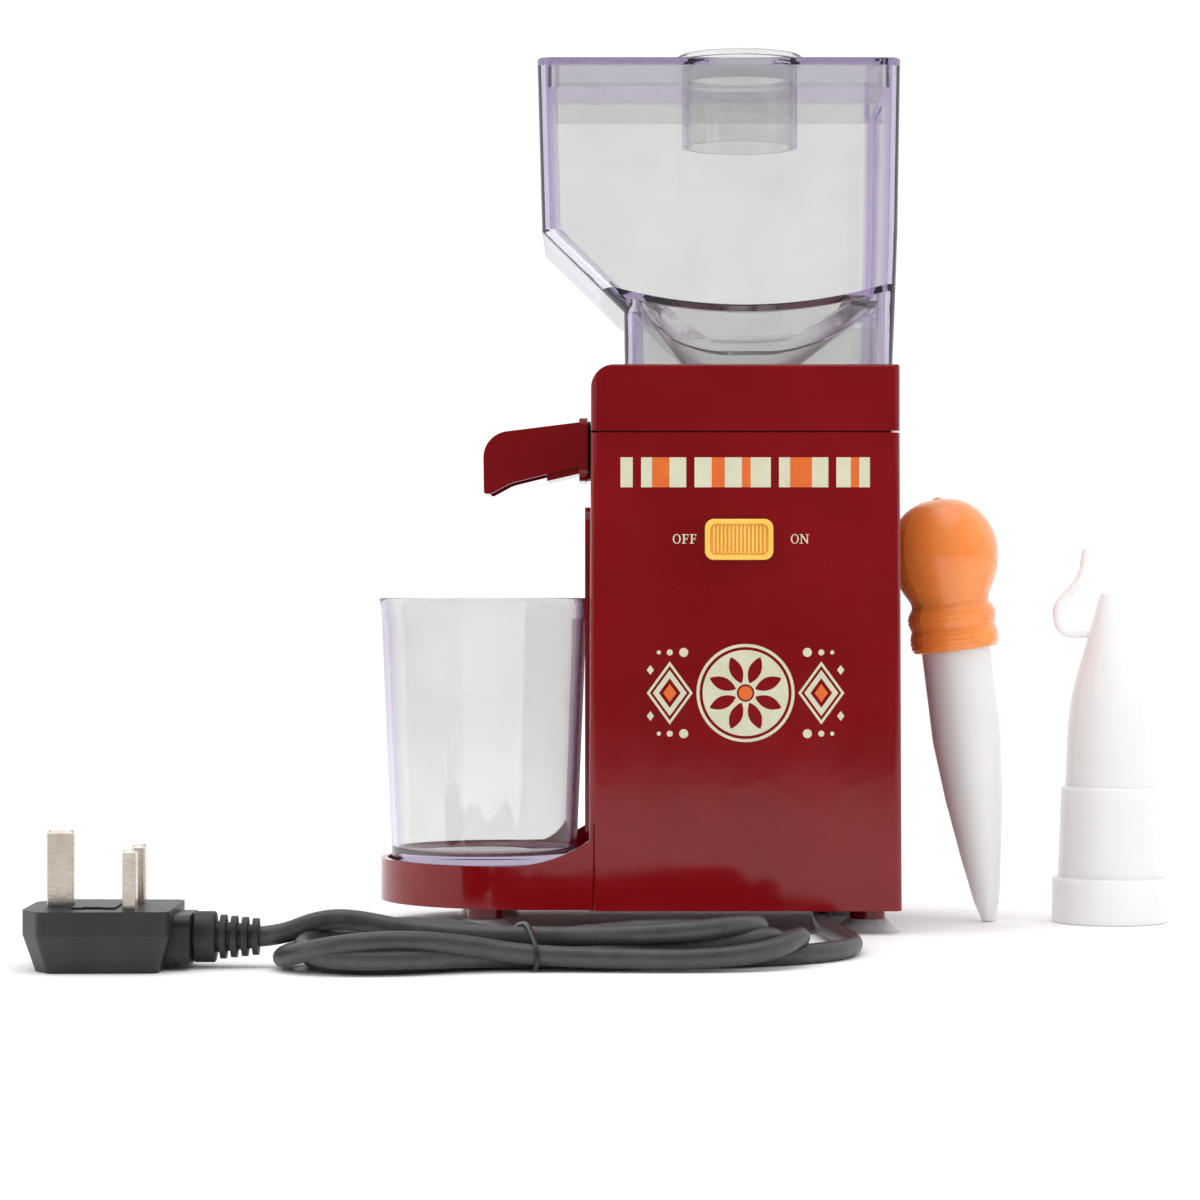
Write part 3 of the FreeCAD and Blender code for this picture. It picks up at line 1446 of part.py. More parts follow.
def dropper_sleeve():
    """Cone-shaped sleeve standing on its collar, with a drip hole at the tip and a hook beside it."""
    tip = sleeve_top + cone_length
    swell = sleeve_top + cone_swell_rise
    t = cone_wall
    outer = [(collar_radius, floor_lift, small_round), (collar_radius, collar_height, 2 * small_round),
             (sleeve_radius_low, collar_height, small_round),
             (sleeve_radius_high, sleeve_top, 2 * small_round), (cone_radius, sleeve_top, small_round),
             (cone_swell, swell, cone_bow), (cone_tip_radius, tip, cone_tip_round), (drip_radius, tip, 0)]
    inner = [(drip_radius, tip - 3 * t, 0), (cone_swell - t, swell - t, cone_bow - t),
             (cone_radius - t, sleeve_top - t, t), (sleeve_radius_high - t, sleeve_top - 2 * t, small_round),
             (sleeve_radius_low - t, collar_height, t), (collar_radius - collar_wall, collar_height - 2 * t, t),
             (collar_radius - collar_wall, floor_lift, 0)]
    hook_path = [(across, 0, tip + rise) for across, rise in hook_points]
    solid = joined(turned(outer + inner), pipe(hook_path, hook_radius, "hook"))
    solid.translate(vector(sleeve_x, 0, 0))
    return solid


# ---------------------------------------------------------------- cord and plug


cord_level = cord_radius + floor_lift
plug_x = hank_x - plug_from_hank
plug_y = hank_y - plug_forward
plug_axis = plug_thickness / 2
plug_right = plug_x + plug_length / 2
relief_end = plug_right + plug_shoulder / 2 + seat_gap + relief_neck_length + relief_length
boot_tip_y = boot_root_y - boot_length

cord_points = [
    (cord_exit_x, boot_tip_y, cord_exit_z),
    (cord_exit_x, -13, cord_exit_z),
    (25.6, -41, 4.2),
    (25.6, -64, cord_level),
    (30.0, -92, cord_level),
    (32.0, -116, cord_level),
    (26.0, -136, cord_level),
    (11.0, -150, cord_level),
    (-8.0, -158, cord_level + 1),
]

lead_points = [
    (relief_end, plug_y, plug_axis),
    (relief_end + 9.0, plug_y, plug_axis),
    (-128.0, -155.0, 16.4),
    (-104.0, -154.2, 17.4),
    (-84.0, -155.2, 15.0),
    (-68.0, -156.6, 9.0),
]

hank_outline = [
    (-79.2, -9.0), (-62.0, 12.5), (-36.0, 16.0), (-7.0, 16.9), (21.6, 27.5), (48.6, 34.2), (71.0, 24.0),
    (79.6, 5.0), (72.0, -11.5), (46.0, -19.5), (0.0, -21.0), (-24.0, -29.0), (-50.0, -34.9), (-70.2, -27.0),
]


def power_cord():
    return pipe(cord_points, cord_radius, "power_cord")


def plug_lead():
    return pipe(lead_points, cord_radius, "plug_lead")


def tie_frame(shape):
    """Turns a piece of the tie to its slant and carries it to the hank."""
    shape.rotate(vector(0, 0, 0), vector(0, 0, 1), tie_slant)
    shape.translate(vector(hank_x + tie_shift, hank_y, 0))
    return shape


def cord_hank():
    """Outer shape of the tied bundle, with a groove below for the tie."""
    curve = Part.BSplineCurve()
    curve.interpolate([vector(hank_x + x, hank_y + y, floor_lift) for x, y in hank_outline], True)
    face = Part.Face(Part.Wire([curve.toShape()]))
    solid = face.extrude(vector(0, 0, hank_height))
    solid = solid.makeFillet(hank_round, [edge for edge in solid.Edges
                                          if edge.BoundBox.ZMin > hank_height - slight])
    groove = tie_frame(block(-tie_width, tie_width, -2 * tie_front, 2 * tie_back, -1,
                             floor_lift + 2 * tie_thickness))
    return solid.cut(groove)


def cord_tie():
    """Twist tie round the middle of the hank, with its tail."""
    low = floor_lift
    high = hank_height + 2 * tie_thickness
    outer = prism("side", rectangle(-tie_front, tie_back, low, high, 2 * tie_thickness),
                  -tie_width / 2, tie_width / 2)
    inner = prism("side", rectangle(tie_thickness - tie_front, tie_back - tie_thickness, low + tie_thickness,
                                    high - tie_thickness, tie_thickness), -tie_width, tie_width)
    tail = block(0, tie_tail, 2 * tie_width, 3 * tie_width, high - tie_thickness, high)
    return tie_frame(joined(outer.cut(inner), tail))


def ringed(corners, start, length, count, radius_start, radius_end, groove):
    """Adds the tapered rings of a strain relief to an outline; each ring takes two thirds of its pitch."""
    pitch = length / count
    for index in range(count):
        low = start + index * pitch
        radius = radius_start + (index + 0.5) / count * (radius_end - radius_start)
        corners += [(radius - groove, low + slight, 0), (radius - groove, low + pitch * 0.33, 0),
                    (radius, low + pitch * 0.4, 0), (radius, low + pitch * 0.95, 0)]
    return corners


def cord_boot():
    """Tapered strain relief: a plain root in the gland and a ringed tail."""
    root = gland_length + small_round
    corners = [(0, 0, 0), (boot_root_radius, 0, small_round), (boot_root_radius, root, 0)]
    corners = ringed(corners, root, boot_length - root - boot_end, boot_rings, boot_root_radius,
                     boot_tip_radius, boot_groove)
    corners += [(boot_tip_radius - small_round, boot_length - boot_end + slight, 0),
                (boot_tip_radius - small_round, boot_length, 0), (0, boot_length, 0)]
    solid = turned(corners)
    solid.rotate(vector(0, 0, 0), vector(1, 0, 0), 90)
    solid.translate(vector(cord_exit_x, boot_root_y, cord_exit_z))
    return solid


def cord_clamp():
    """Saddle on top of the plate that grips the cord's inner end."""
    low = plate_top + seat_gap
    x = cord_exit_x - clamp_offset
    y = boot_root_y - wire_hole_inset
    half = clamp_length / 2
    solid = block(x - half, x + half, y - clamp_width / 2, y + clamp_width / 2, low, low + clamp_height)
    groove = Part.makeCylinder(cord_radius, clamp_length + 2, vector(x - half - 1, y, low + clamp_height),
                               vector(1, 0, 0))
    return solid.cut(groove)


def plug_outline(scale, z):
    """Outline of the plug: square towards the cord, drawn in at the earth end."""
    long = plug_length / 2
    wide = plug_width / 2
    nose = -long
    corners = [(nose, -wide + plug_nose_width), (nose + plug_nose, -wide), (long, -wide + 1),
               (long, wide - 1), (nose + plug_nose, wide), (nose, wide - plug_nose_width)]
    placed = [(plug_x + u * scale, plug_y + v * scale, plug_round * scale) for u, v in corners]
    return rounded_wire("top", placed, z)


def plug_pins():
    """Middle and size of each pin: name, x, y, length along x, width along y, height."""
    earth_x = plug_x - plug_length / 2 + earth_inset
    live_x = earth_x + pin_spacing
    return [("earth", earth_x, plug_y, earth_width, pin_thickness, earth_length),
            ("live", live_x, plug_y - pin_spacing / 2, pin_thickness, pin_width, pin_length),
            ("neutral", live_x, plug_y + pin_spacing / 2, pin_thickness, pin_width, pin_length)]


def pin_block(pin, clearance, low, high):
    name, x, y, long, wide, height = pin
    corners = rectangle(x - long / 2 - clearance, x + long / 2 + clearance, y - wide / 2 - clearance,
                        y + wide / 2 + clearance, small_round)
    return prism("top", corners, low, high)


def fuse_outline(clearance):
    x = plug_x + fuse_shift
    return rectangle(x - fuse_length / 2 - clearance, x + fuse_length / 2 + clearance,
                     plug_y - fuse_width / 2 - clearance, plug_y + fuse_width / 2 + clearance, fuse_round)


def plug_body():
    """Three-pin plug lying on its back: tapered grip, flat pin face, shoulder for the cord."""
    low = floor_lift
    top = low + plug_thickness
    body = Part.makeLoft([plug_outline(plug_grip, low),
                          plug_outline(1.0, low + plug_thickness * plug_widest), plug_outline(1.0, top)],
                         True, True)
    half = plug_shoulder_width / 2
    shoulder = prism("side", rectangle(plug_y - half, plug_y + half, low + plug_shoulder_low,
                                       top - plug_shoulder_drop, plug_shoulder_round),
                     plug_right - plug_shoulder / 2, plug_right + plug_shoulder / 2)
    solid = joined(body, shoulder)
    cuts = [pin_block(pin, press_gap, top - pin_root - seat_gap, top + 1) for pin in plug_pins()]
    cuts.append(prism("top", fuse_outline(fit_gap), top - fuse_depth - seat_gap, top + 1))
    return solid.cut(cuts)


def plug_fuse_carrier():
    """Fuse drawer in the pin face, with a pry slot at one end."""
    top = floor_lift + plug_thickness + fuse_proud
    solid = prism("top", fuse_outline(0), top - fuse_proud - fuse_depth, top)
    x = plug_x + fuse_shift
    front = plug_y - fuse_width / 2
    slot = block(x - fuse_slot / 2, x + fuse_slot / 2, front - 1, front + fuse_slot_width,
                 top - fuse_slot_depth, top + 1)
    return solid.cut(slot)


def plug_pin(pin):
    low = floor_lift + plug_thickness - pin_root
    high = low + pin_root + pin[-1]
    solid = pin_block(pin, 0, low, high)
    return solid.makeChamfer(pin_bevel, [edge for edge in solid.Edges if edge.BoundBox.ZMin > high - slight])


def plug_relief():
    """Short neck and ringed strain relief between the plug and the lead."""
    total = relief_neck_length + relief_length
    neck = relief_radius + relief_neck
    corners = [(0, 0, 0), (neck, 0, 2 * small_round), (neck, relief_neck_length, 2 * small_round)]
    corners = ringed(corners, relief_neck_length, relief_length, relief_rings, relief_radius,
                     relief_end_radius, relief_groove)
    corners += [(cord_radius + relief_neck, total - slight, 0), (0, total, 0)]
    solid = turned(corners)
    solid.rotate(vector(0, 0, 0), vector(0, 1, 0), 90)
    solid.translate(vector(plug_right + plug_shoulder / 2 + seat_gap, plug_y, plug_axis))
    return solid


# ---------------------------------------------------------------- assembly


def bounds_middle(shapes):
    """Middle of the object seen from above, from points on its surfaces, since a box round curves is loose."""
    points = [point for shape in shapes for point in shape.tessellate(0.1)[0]]
    across = [point.x for point in points]
    deep = [point.y for point in points]
    return (min(across) + max(across)) / 2, (min(deep) + max(deep)) / 2


nodes = {
    "front_cover": cover(True),
    "rear_cover": cover(False),
    "head_cover": head_cover(),
    "side_guide": side_guide(),
    "cup_tray": cup_tray(),
    "bottom_plate": bottom_plate(),
    "spout": spout(),
    "outlet_gasket": outlet_gasket(),
    "grinding_chamber": grinding_chamber(),
    "chamber_cap": chamber_cap(),
    "fixed_burr": fixed_burr(),
    "rotating_burr": rotating_burr(),
    "feed_screw": feed_screw(),
    "bearing_bush": bearing_bush(),
    "shaft_seal": shaft_seal(),
    "drive_coupling": drive_coupling(),
    "grinder_spindle": spindle(),
    "motor_shaft": motor_shaft(),
    "motor_can": motor_can(),
    "motor_end_cap": motor_end_cap(),
    "rotor_core": rotor_core(),
    "cooling_fan": cooling_fan(),
    "motor_mount_plate": motor_mount_plate(),
    "switch_button": switch_button(),
    "switch_slider": switch_slider(),
    "switch_housing": switch_housing(),
    "circuit_board": circuit_board(),
    "capacitor": capacitor(),
    "hopper": hopper(),
    "hopper_lid": hopper_lid(),
    "cup": cup(),
    "dropper_tube": dropper_tube(),
    "dropper_bulb": dropper_bulb(),
    "dropper_sleeve": dropper_sleeve(),
    "cord_boot": cord_boot(),
    "cord_clamp": cord_clamp(),
}

for index, side in enumerate((0, 1), start=1):
    nodes["stator_magnet_%d" % index] = stator_magnet(side)

foot_places = [(foot_x_left, -foot_y), (foot_x_left, foot_y), (foot_x_right, -foot_y),
               (foot_x_right, foot_y)]
for index, (x, y) in enumerate(foot_places, start=1):
    nodes["suction_foot_%d" % index] = suction_foot(x, y)

post_places = [(x, y) for x in (-post_x, post_x) for y in (-post_y, post_y)]
for index, (x, y) in enumerate(post_places, start=1):
    nodes["motor_post_%d" % index] = motor_post(x, y)

middle_x, middle_y = bounds_middle(nodes.values())

nodes["power_cord"] = power_cord()
nodes["cord_hank"] = cord_hank()
nodes["cord_tie"] = cord_tie()
nodes["plug_lead"] = plug_lead()
nodes["plug_body"] = plug_body()
nodes["plug_fuse_carrier"] = plug_fuse_carrier()
nodes["plug_relief"] = plug_relief()
for pin in plug_pins():
    nodes["plug_pin_" + pin[0]] = plug_pin(pin)

print("origin moved by", round(-middle_x, 3), round(-middle_y, 3))
for name, shape in nodes.items():
    shape.translate(vector(-middle_x, -middle_y, 0))
    shape.exportStep("parts/%s.step" % name)
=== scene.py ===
import math
import bmesh
import bpy
from mathutils import Matrix, Vector


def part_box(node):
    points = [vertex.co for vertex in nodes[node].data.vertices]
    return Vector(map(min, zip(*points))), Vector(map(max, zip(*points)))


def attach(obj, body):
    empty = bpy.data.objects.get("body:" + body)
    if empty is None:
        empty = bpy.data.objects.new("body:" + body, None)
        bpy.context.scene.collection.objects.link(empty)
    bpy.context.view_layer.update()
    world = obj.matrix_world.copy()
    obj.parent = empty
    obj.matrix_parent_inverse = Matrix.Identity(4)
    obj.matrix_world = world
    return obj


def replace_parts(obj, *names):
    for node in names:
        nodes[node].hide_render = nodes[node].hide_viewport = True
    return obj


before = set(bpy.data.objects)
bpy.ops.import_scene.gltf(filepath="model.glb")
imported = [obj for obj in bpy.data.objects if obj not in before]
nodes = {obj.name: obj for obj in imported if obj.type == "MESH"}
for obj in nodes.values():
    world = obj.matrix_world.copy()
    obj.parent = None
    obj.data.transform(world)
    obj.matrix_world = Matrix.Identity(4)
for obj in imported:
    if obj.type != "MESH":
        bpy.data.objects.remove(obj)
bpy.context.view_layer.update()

MM = 0.001
# The spindle's axis stands midway between the outer faces of the two covers. This is its place in mm.
cover_low, cover_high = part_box("front_cover")
SHIFT = Vector((cover_low[0] + cover_high[0], cover_low[1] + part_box("rear_cover")[1][1], 0)) / 2 / MM


def place(x, y, z):
    """A point given in mm from the spindle's axis, in metres in the record's frame."""
    return (Vector((x, y, z)) + SHIFT) * MM


# ---------------------------------------------------------------- camera

# The camera's frame is square and counted in 1200 parts. On the front cover, which stands front_distance
# from the lens, each part is front_scale wide. The frame's middle is given in mm from the spindle's axis.
frame_parts = 1200
front_scale = 0.33
front_distance = 1200.0
lens_distance = 1252.0
view_x, view_z = -48.06, 110.7
sensor = 36

camera = bpy.data.objects.new("camera", bpy.data.cameras.new("camera"))
bpy.context.collection.objects.link(camera)
camera.location = place(view_x, -lens_distance, view_z)
camera.rotation_euler = (math.radians(90), 0, 0)
camera.data.sensor_width = sensor
camera.data.lens = sensor * front_distance / (frame_parts * front_scale)
camera.data.clip_start = 0.05
camera.data.clip_end = 20
bpy.context.scene.camera = camera

# ---------------------------------------------------------------- mains lead

cord_thick = 6.2
low = 3.15  # the height of the cord's middle where it lies on the floor
exit_point = (26, 2, 13.2)
way_to_hank = [exit_point, (26, -13, 13.2), (25.6, -41, 4.2), (25.6, -64, low), (30, -92, low),
               (32, -116, low), (26, -136, low), (11, -150, low), (-8, -158, low)]
# The hank's turns, from its middle. Each goes left under the tie, round the left lobe, back over the
# right one, and lies on what is there already.
hank_x, hank_y = -66.4, -152.0
first_turn = [(36, -9.5, low), (14, -6.6, low), (-4.7, -5, low), (-22, -12, low), (-38, -23.5, low),
              (-53, -26, low), (-65.5, -19, low), (-69, -5, low), (-61, 8.5, low), (-46, 14, low),
              (-30, 11, low), (-16, 4.5, low), (-4.7, 1.2, low), (12, 5, low), (29, 16, low),
              (46, 26, low), (62, 25, low), (72.5, 12, 6.2), (70, -4, 9.6), (56, -12.5, 7.6), (34, -12.8, 5)]
second_turn = [(10, -13, 4), (-4.7, -11.2, 3.6), (-22, -19, 4.4), (-38, -29.5, 4.9), (-54, -31.6, 4.7),
               (-67, -26.5, 5.7), (-71.5, -12, 7.8), (-65, 1.5, 8.6), (-51, 7.6, 7.9), (-34, 6.8, 8.2),
               (-18, 8.2, 7.3), (-4.7, 7.4, 4.4), (12, 12, 4), (30, 24, 4), (48, 33, low), (66, 31, low),
               (78, 17, 5.4), (80, 0, 9.6), (70, -15, 6), (50, -20, 4), (26, -19.5, 4)]
third_turn = [(-4.7, -17.4, 5), (-20, -21, 8), (-38, -28, 10.4), (-56, -31, 9.6), (-71, -26, 6.4),
              (-78, -11, low), (-74, 4, 4.6), (-60, 11.5, 8.9), (-42, 11, 11.2), (-24, 13.2, 9.8),
              (-4.7, 13.6, 6), (14, 15, 8), (32, 20, 9.4), (48, 23, 9), (62, 18, 9.4), (68, 4, 12),
              (61, -10, 13.2), (46, -16.5, 12), (28, -13.5, 10.4), (10, -6, 9.2), (-6, -2.4, 9.1)]
way_to_plug = [(-84, -155.2, 9.3), (-104, -154.2, 10.5), (-124, -155, 14.8), (-134, -155.4, 13.8),
               (-144, -155.6, 9.7), (-150.65, -155.6, 9.25)]
route = list(way_to_hank)
for turn in (first_turn, second_turn, third_turn):
    for x, y, z in turn:
        route.append((hank_x + x, hank_y + y, z))
route += way_to_plug


def round_line(name, around, along):
    """An empty curve with a round section, and how finely it is divided around and along."""
    made = bpy.data.curves.new(name, "CURVE")
    made.dimensions = "3D"
    made.bevel_depth = 1.0
    made.bevel_resolution = around
    made.resolution_u = along
    made.use_fill_caps = True
    return made


def strand(line, way, thick):
    """Adds a smooth line with those control points, all in mm."""
    spline = line.splines.new("NURBS")
    spline.points.add(len(way) - 1)
    for point, corner in zip(spline.points, way):
        point.co = (*place(*corner), 1)
        point.radius = thick / 2 * MM
    spline.order_u = 3
    spline.use_endpoint_u = True


def laid_out(line, slot, *stands_for):
    """The piece made of that curve, riding on the housing in the place of the nodes it stands for."""
    piece = bpy.data.objects.new(line.name, line)
    bpy.context.collection.objects.link(piece)
    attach(piece, "housing")
    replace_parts(piece, *stands_for)
    return piece


cord_line = round_line("mains_cord", 6, 8)
strand(cord_line, route, cord_thick)
mains_cord = laid_out(cord_line, "cord_sheath", "power_cord", "cord_hank", "plug_lead")

# A covered wire holds the hank, leaning as it crosses, and its two ends are twisted behind the bundle.
tie_thick = 1.5
tie_x = hank_x - 4.7
tie_lean = 0.2
tie_round = [(17.6, 3.4), (17.4, 8), (12, 11.4), (2, 12.6), (-3, 13.2), (-9, 12.4), (-16, 9.6), (-21.2, 7.4),
             (-22, 4), (-20.6, 0.9), (-10, 0.8), (4, 0.8), (16, 0.9), (18.3, 3.0)]
twist_start, twist_behind, twist_height = -3.7, 19.4, 5.2
twist_steps, twist_pitch, twist_radius = 14, 1.3, 0.8
tie_line = round_line("twist_tie", 4, 6)
for end in (0, 1):
    twist = []
    for step in range(twist_steps):
        angle = math.tau * step / 6 + end * math.pi
        twist.append((tie_x + twist_start + twist_pitch * step,
                      hank_y + twist_behind + twist_radius * math.cos(angle),
                      twist_height + twist_radius * math.sin(angle)))
    tail = (twist[-1][0] + 4, twist[-1][1] + (2.5 if end else -0.6), 4.0 - 1.6 * end)
    strand(tie_line, twist + [tail], tie_thick)
strand(tie_line, [(tie_x - tie_lean * y, hank_y + y, z) for y, z in tie_round], tie_thick)
twist_tie = laid_out(tie_line, "black_rubber", "cord_tie")

# ---------------------------------------------------------------- finishes


def colour(code):
    """A colour written as sRGB hex, as the linear colour that a shader takes."""
    parts = [int(code[i:i + 2], 16) / 255 for i in (0, 2, 4)]
    return tuple(c / 12.92 if c <= 0.04045 else ((c + 0.055) / 1.055) ** 2.4 for c in parts) + (1,)


def per(size):
    """The scale of a texture whose marks are that many mm across."""
    return 1000 / size


def add(tree, kind, settings=(), links=()):
    """Adds a node. A setting is one of its inputs or properties, and a link feeds an input from an output."""
    made = tree.nodes.new(kind)
    for name, value in dict(settings).items():
        if name in made.inputs:
            made.inputs[name].default_value = value
        else:
            setattr(made, name, value)
    for name, source in dict(links).items():
        tree.links.new(source, made.inputs[name])
    return made


def new_finish(name):
    """An empty material: its tree and the place on the piece in metres."""
    made = bpy.data.materials.new(name)
    made.use_nodes = True
    made.node_tree.nodes.clear()
    where = add(made.node_tree, "ShaderNodeTexCoord").outputs["Object"]
    return made, made.node_tree, where


def spots(tree, where, size, detail=3.0, rough=0.55, stretch=(1, 1, 1)):
    """Uneven marks of about that many mm, from 0 to 1, drawn out along an axis where stretch is below 1."""
    laid = add(tree, "ShaderNodeMapping", {"Scale": stretch}, {"Vector": where})
    return add(tree, "ShaderNodeTexNoise", {"Scale": per(size), "Detail": detail, "Roughness": rough},
               {"Vector": laid.outputs["Vector"]}).outputs["Fac"]


# Nearly all of a mark's values lie between these two.
mark_low, mark_high = 0.3, 0.7


def between(tree, amount, low, high, start=mark_low, end=mark_high):
    """An amount that runs from start to end, as a value that runs from low to high."""
    limits = {"From Min": start, "From Max": end, "To Min": low, "To Max": high}
    return add(tree, "ShaderNodeMapRange", limits, {"Value": amount}).outputs["Result"]


def tinted(tree, amount, first, second):
    """Two colours, mixed by the amount of a mark."""
    ramp = add(tree, "ShaderNodeValToRGB", (), {"Fac": amount})
    for mark, position, code in zip(ramp.color_ramp.elements, (mark_low, mark_high), (first, second)):
        mark.position = position
        mark.color = colour(code)
    return ramp.outputs["Color"]


def product(tree, first, second):
    """Two amounts, multiplied."""
    return add(tree, "ShaderNodeMath", {"operation": "MULTIPLY"}, {0: first, 1: second}).outputs["Value"]


def bumped(tree, height, depth):
    """A surface normal with marks of that depth in mm."""
    bump = add(tree, "ShaderNodeBump", {"Distance": depth * MM, "Strength": 1.0}, {"Height": height})
    return bump.outputs["Normal"]


def closed(tree, settings, links):
    """The surface and the output of a material."""
    skin = add(tree, "ShaderNodeBsdfPrincipled", settings, links)
    add(tree, "ShaderNodeOutputMaterial", (), {"Surface": skin.outputs["BSDF"]})


def closed_clear(tree, settings, links, shade, inside):
    """The surface and the output of a clear material: light on its way to what stands behind passes through,
    dimmed to a shade, and the body between the walls is tinted."""
    skin = add(tree, "ShaderNodeBsdfPrincipled", settings, links)
    passed = add(tree, "ShaderNodeBsdfTransparent", {"Color": colour(shade)})
    ray = add(tree, "ShaderNodeLightPath")
    both = add(tree, "ShaderNodeMixShader", (), {0: ray.outputs["Is Shadow Ray"], 1: skin.outputs["BSDF"],
                                                 2: passed.outputs["BSDF"]})
    add(tree, "ShaderNodeOutputMaterial", (), {"Surface": both.outputs["Shader"], "Volume": inside})


def gloss_shell():
    """Injection-moulded ABS from a polished mould: deep colour under a sharp gloss, with a slight
    orange peel that makes reflections wander, cloudy patches where hands have dulled it, and fine dust."""
    made, tree, where = new_finish("red_ABS_moulded_high_gloss")
    cloud = spots(tree, where, 38, 2.0)
    dust = spots(tree, where, 0.9, 1.0)
    rubbed = spots(tree, where, 17, 6.0, 0.7)
    peel = spots(tree, where, 5.5, 1.0)
    speck = between(tree, dust, 0, 1, 0.77, 0.81)
    paint = add(tree, "ShaderNodeMix", {"data_type": "RGBA"},
                {"Factor": speck, "A": tinted(tree, cloud, "6F060C", "7B0B14")})
    paint.inputs["B"].default_value = colour("8E3238")
    closed(tree, {"IOR": 1.53, "Specular IOR Level": 0.36},
           {"Base Color": paint.outputs["Result"], "Roughness": between(tree, rubbed, 0.05, 0.13),
            "Normal": bumped(tree, peel, 0.012)})
    return made


def satin_button():
    """Injection-moulded ABS, coloured through, from a lightly blasted mould: warm orange, a broad soft
    highlight, and a faint grain worn smoother where a finger pushes. The real grain is about 0.1 mm and is
    drawn coarser, so that it shows."""
    made, tree, where = new_finish("orange_ABS_moulded_satin")
    flow = spots(tree, where, 9, 3.0)
    grain = spots(tree, where, 0.35, 2.0)
    worn = spots(tree, where, 6, 4.0)
    closed(tree, {"IOR": 1.53, "Subsurface Weight": 0.5, "Subsurface Radius": (1, 0.6, 0.25),
                  "Subsurface Scale": 0.004},
           {"Base Color": tinted(tree, flow, "FDBC4C", "FFC85E"), "Roughness": between(tree, worn, 0.3, 0.42),
            "Normal": bumped(tree, grain, 0.006)})
    return made


def clear_moulding(name, paint_edge_line):
    """Clear SAN, injection moulded: sharp walls, nearly colourless face on and violet where the eye looks
    along them; that violet is painted into the colour by how far a face turns from the eye, in place of
    the light's longer way through the wall. Ripples from the mould bend what is seen through it, and rubbing
    leaves a fine haze. A box gathers light at its upright rounded edges, where it leaves as a violet line;
    that line is painted into the colour where the faces turn between front and side."""
    made, tree, where = new_finish(name)
    ripple = spots(tree, where, 24, 2.0)
    haze = spots(tree, where, 11, 6.0, 0.7)
    tint = add(tree, "ShaderNodeVolumeAbsorption", {"Color": colour("C0ACD4"), "Density": 20.0})
    # Painted violet: the colour turns violet where a face turns away from the eye, in place of the light's
    # longer way through the wall.
    along = add(tree, "ShaderNodeLayerWeight", {"Blend": 0.4}).outputs["Facing"]
    body = add(tree, "ShaderNodeMix", {"data_type": "RGBA"},
               {"Factor": between(tree, along, 0, 1, 0.42, 0.82),
                "A": tinted(tree, ripple, "EBECEA", "F0F1EF")})
    body.inputs["B"].default_value = colour("A584CC")
    # Painted light: a violet line is painted where the faces turn between front and side, in place of the
    # light that the box's rounded edges gather and let out.
    if paint_edge_line:
        facing = add(tree, "ShaderNodeTexCoord").outputs["Normal"]
        ways = add(tree, "ShaderNodeSeparateXYZ", (), {"Vector": facing}).outputs
        corner = product(tree, ways["X"], ways["Y"])
        edge_line_mask = product(tree, corner, corner)
        violet_edge_paint = add(tree, "ShaderNodeMix", {"data_type": "RGBA", "blend_type": "MULTIPLY"},
                    {"Factor": between(tree, edge_line_mask, 0, 1, 0.02, 0.16), "A": body.outputs["Result"]})
        violet_edge_paint.inputs["B"].default_value = colour("C9B8E0")
        body = violet_edge_paint
    closed_clear(tree, {"Transmission Weight": 0.985, "IOR": 1.57},
                 {"Base Color": body.outputs["Result"],
                  "Roughness": between(tree, haze, 0.0, 0.04), "Normal": bumped(tree, ripple, 0.04)},
                 "F2F0F4", tint.outputs["Volume"])
    return made


def milky_sleeve():
    """Natural low-density polyethylene, moulded thick: milky, waxy, light glows through it and the
    surface has a soft sheen with flow marks."""
    made, tree, where = new_finish("natural_LDPE_moulded")
    flow = spots(tree, where, 14, 3.0, 0.5, (1, 1, 0.35))
    wax = spots(tree, where, 1.6, 2.0)
    closed(tree, {"Transmission Weight": 0.12, "IOR": 1.51, "Subsurface Weight": 0.5,
                  "Subsurface Radius": (1, 1, 1), "Subsurface Scale": 0.003, "Coat Weight": 0.4,
                  "Coat Roughness": 0.12},
           {"Base Color": tinted(tree, flow, "FAFAFA", "FDFDFC"), "Roughness": between(tree, wax, 0.36, 0.48),
            "Normal": bumped(tree, wax, 0.015)})
    return made


def rubber_bulb():
    """Moulded silicone rubber: orange and a little see-through, so its thin sides glow, under a wet-looking
    sheen with clear highlights that a light dusting softens in patches."""
    made, tree, where = new_finish("orange_silicone_rubber_moulded")
    flow = spots(tree, where, 12, 2.0)
    dusty = spots(tree, where, 2.2, 5.0, 0.7)
    closed(tree, {"Subsurface Weight": 0.6, "Subsurface Radius": (1.0, 0.4, 0.15), "Subsurface Scale": 0.004,
                  "IOR": 1.43, "Coat Weight": 0.6, "Coat Roughness": 0.06},
           {"Base Color": tinted(tree, flow, "FF8C3E", "FF984A"),
            "Roughness": between(tree, dusty, 0.2, 0.36), "Normal": bumped(tree, dusty, 0.01)})
    return made


def suction_foot():
    """Moulded plasticised PVC: a cloudy grey suction cup, soft and slightly tacky, that picks up dust."""
    made, tree, where = new_finish("plasticised_PVC_moulded_cloudy")
    cloud = spots(tree, where, 6, 3.0)
    lint = spots(tree, where, 0.8, 3.0)
    closed(tree, {"Transmission Weight": 0.25, "IOR": 1.53, "Subsurface Weight": 0.6,
                  "Subsurface Radius": (1, 0.95, 0.95), "Subsurface Scale": 0.004},
           {"Base Color": tinted(tree, cloud, "ECE6E5", "F6F2F1"),
            "Roughness": between(tree, lint, 0.28, 0.5), "Normal": bumped(tree, lint, 0.02)})
    return made


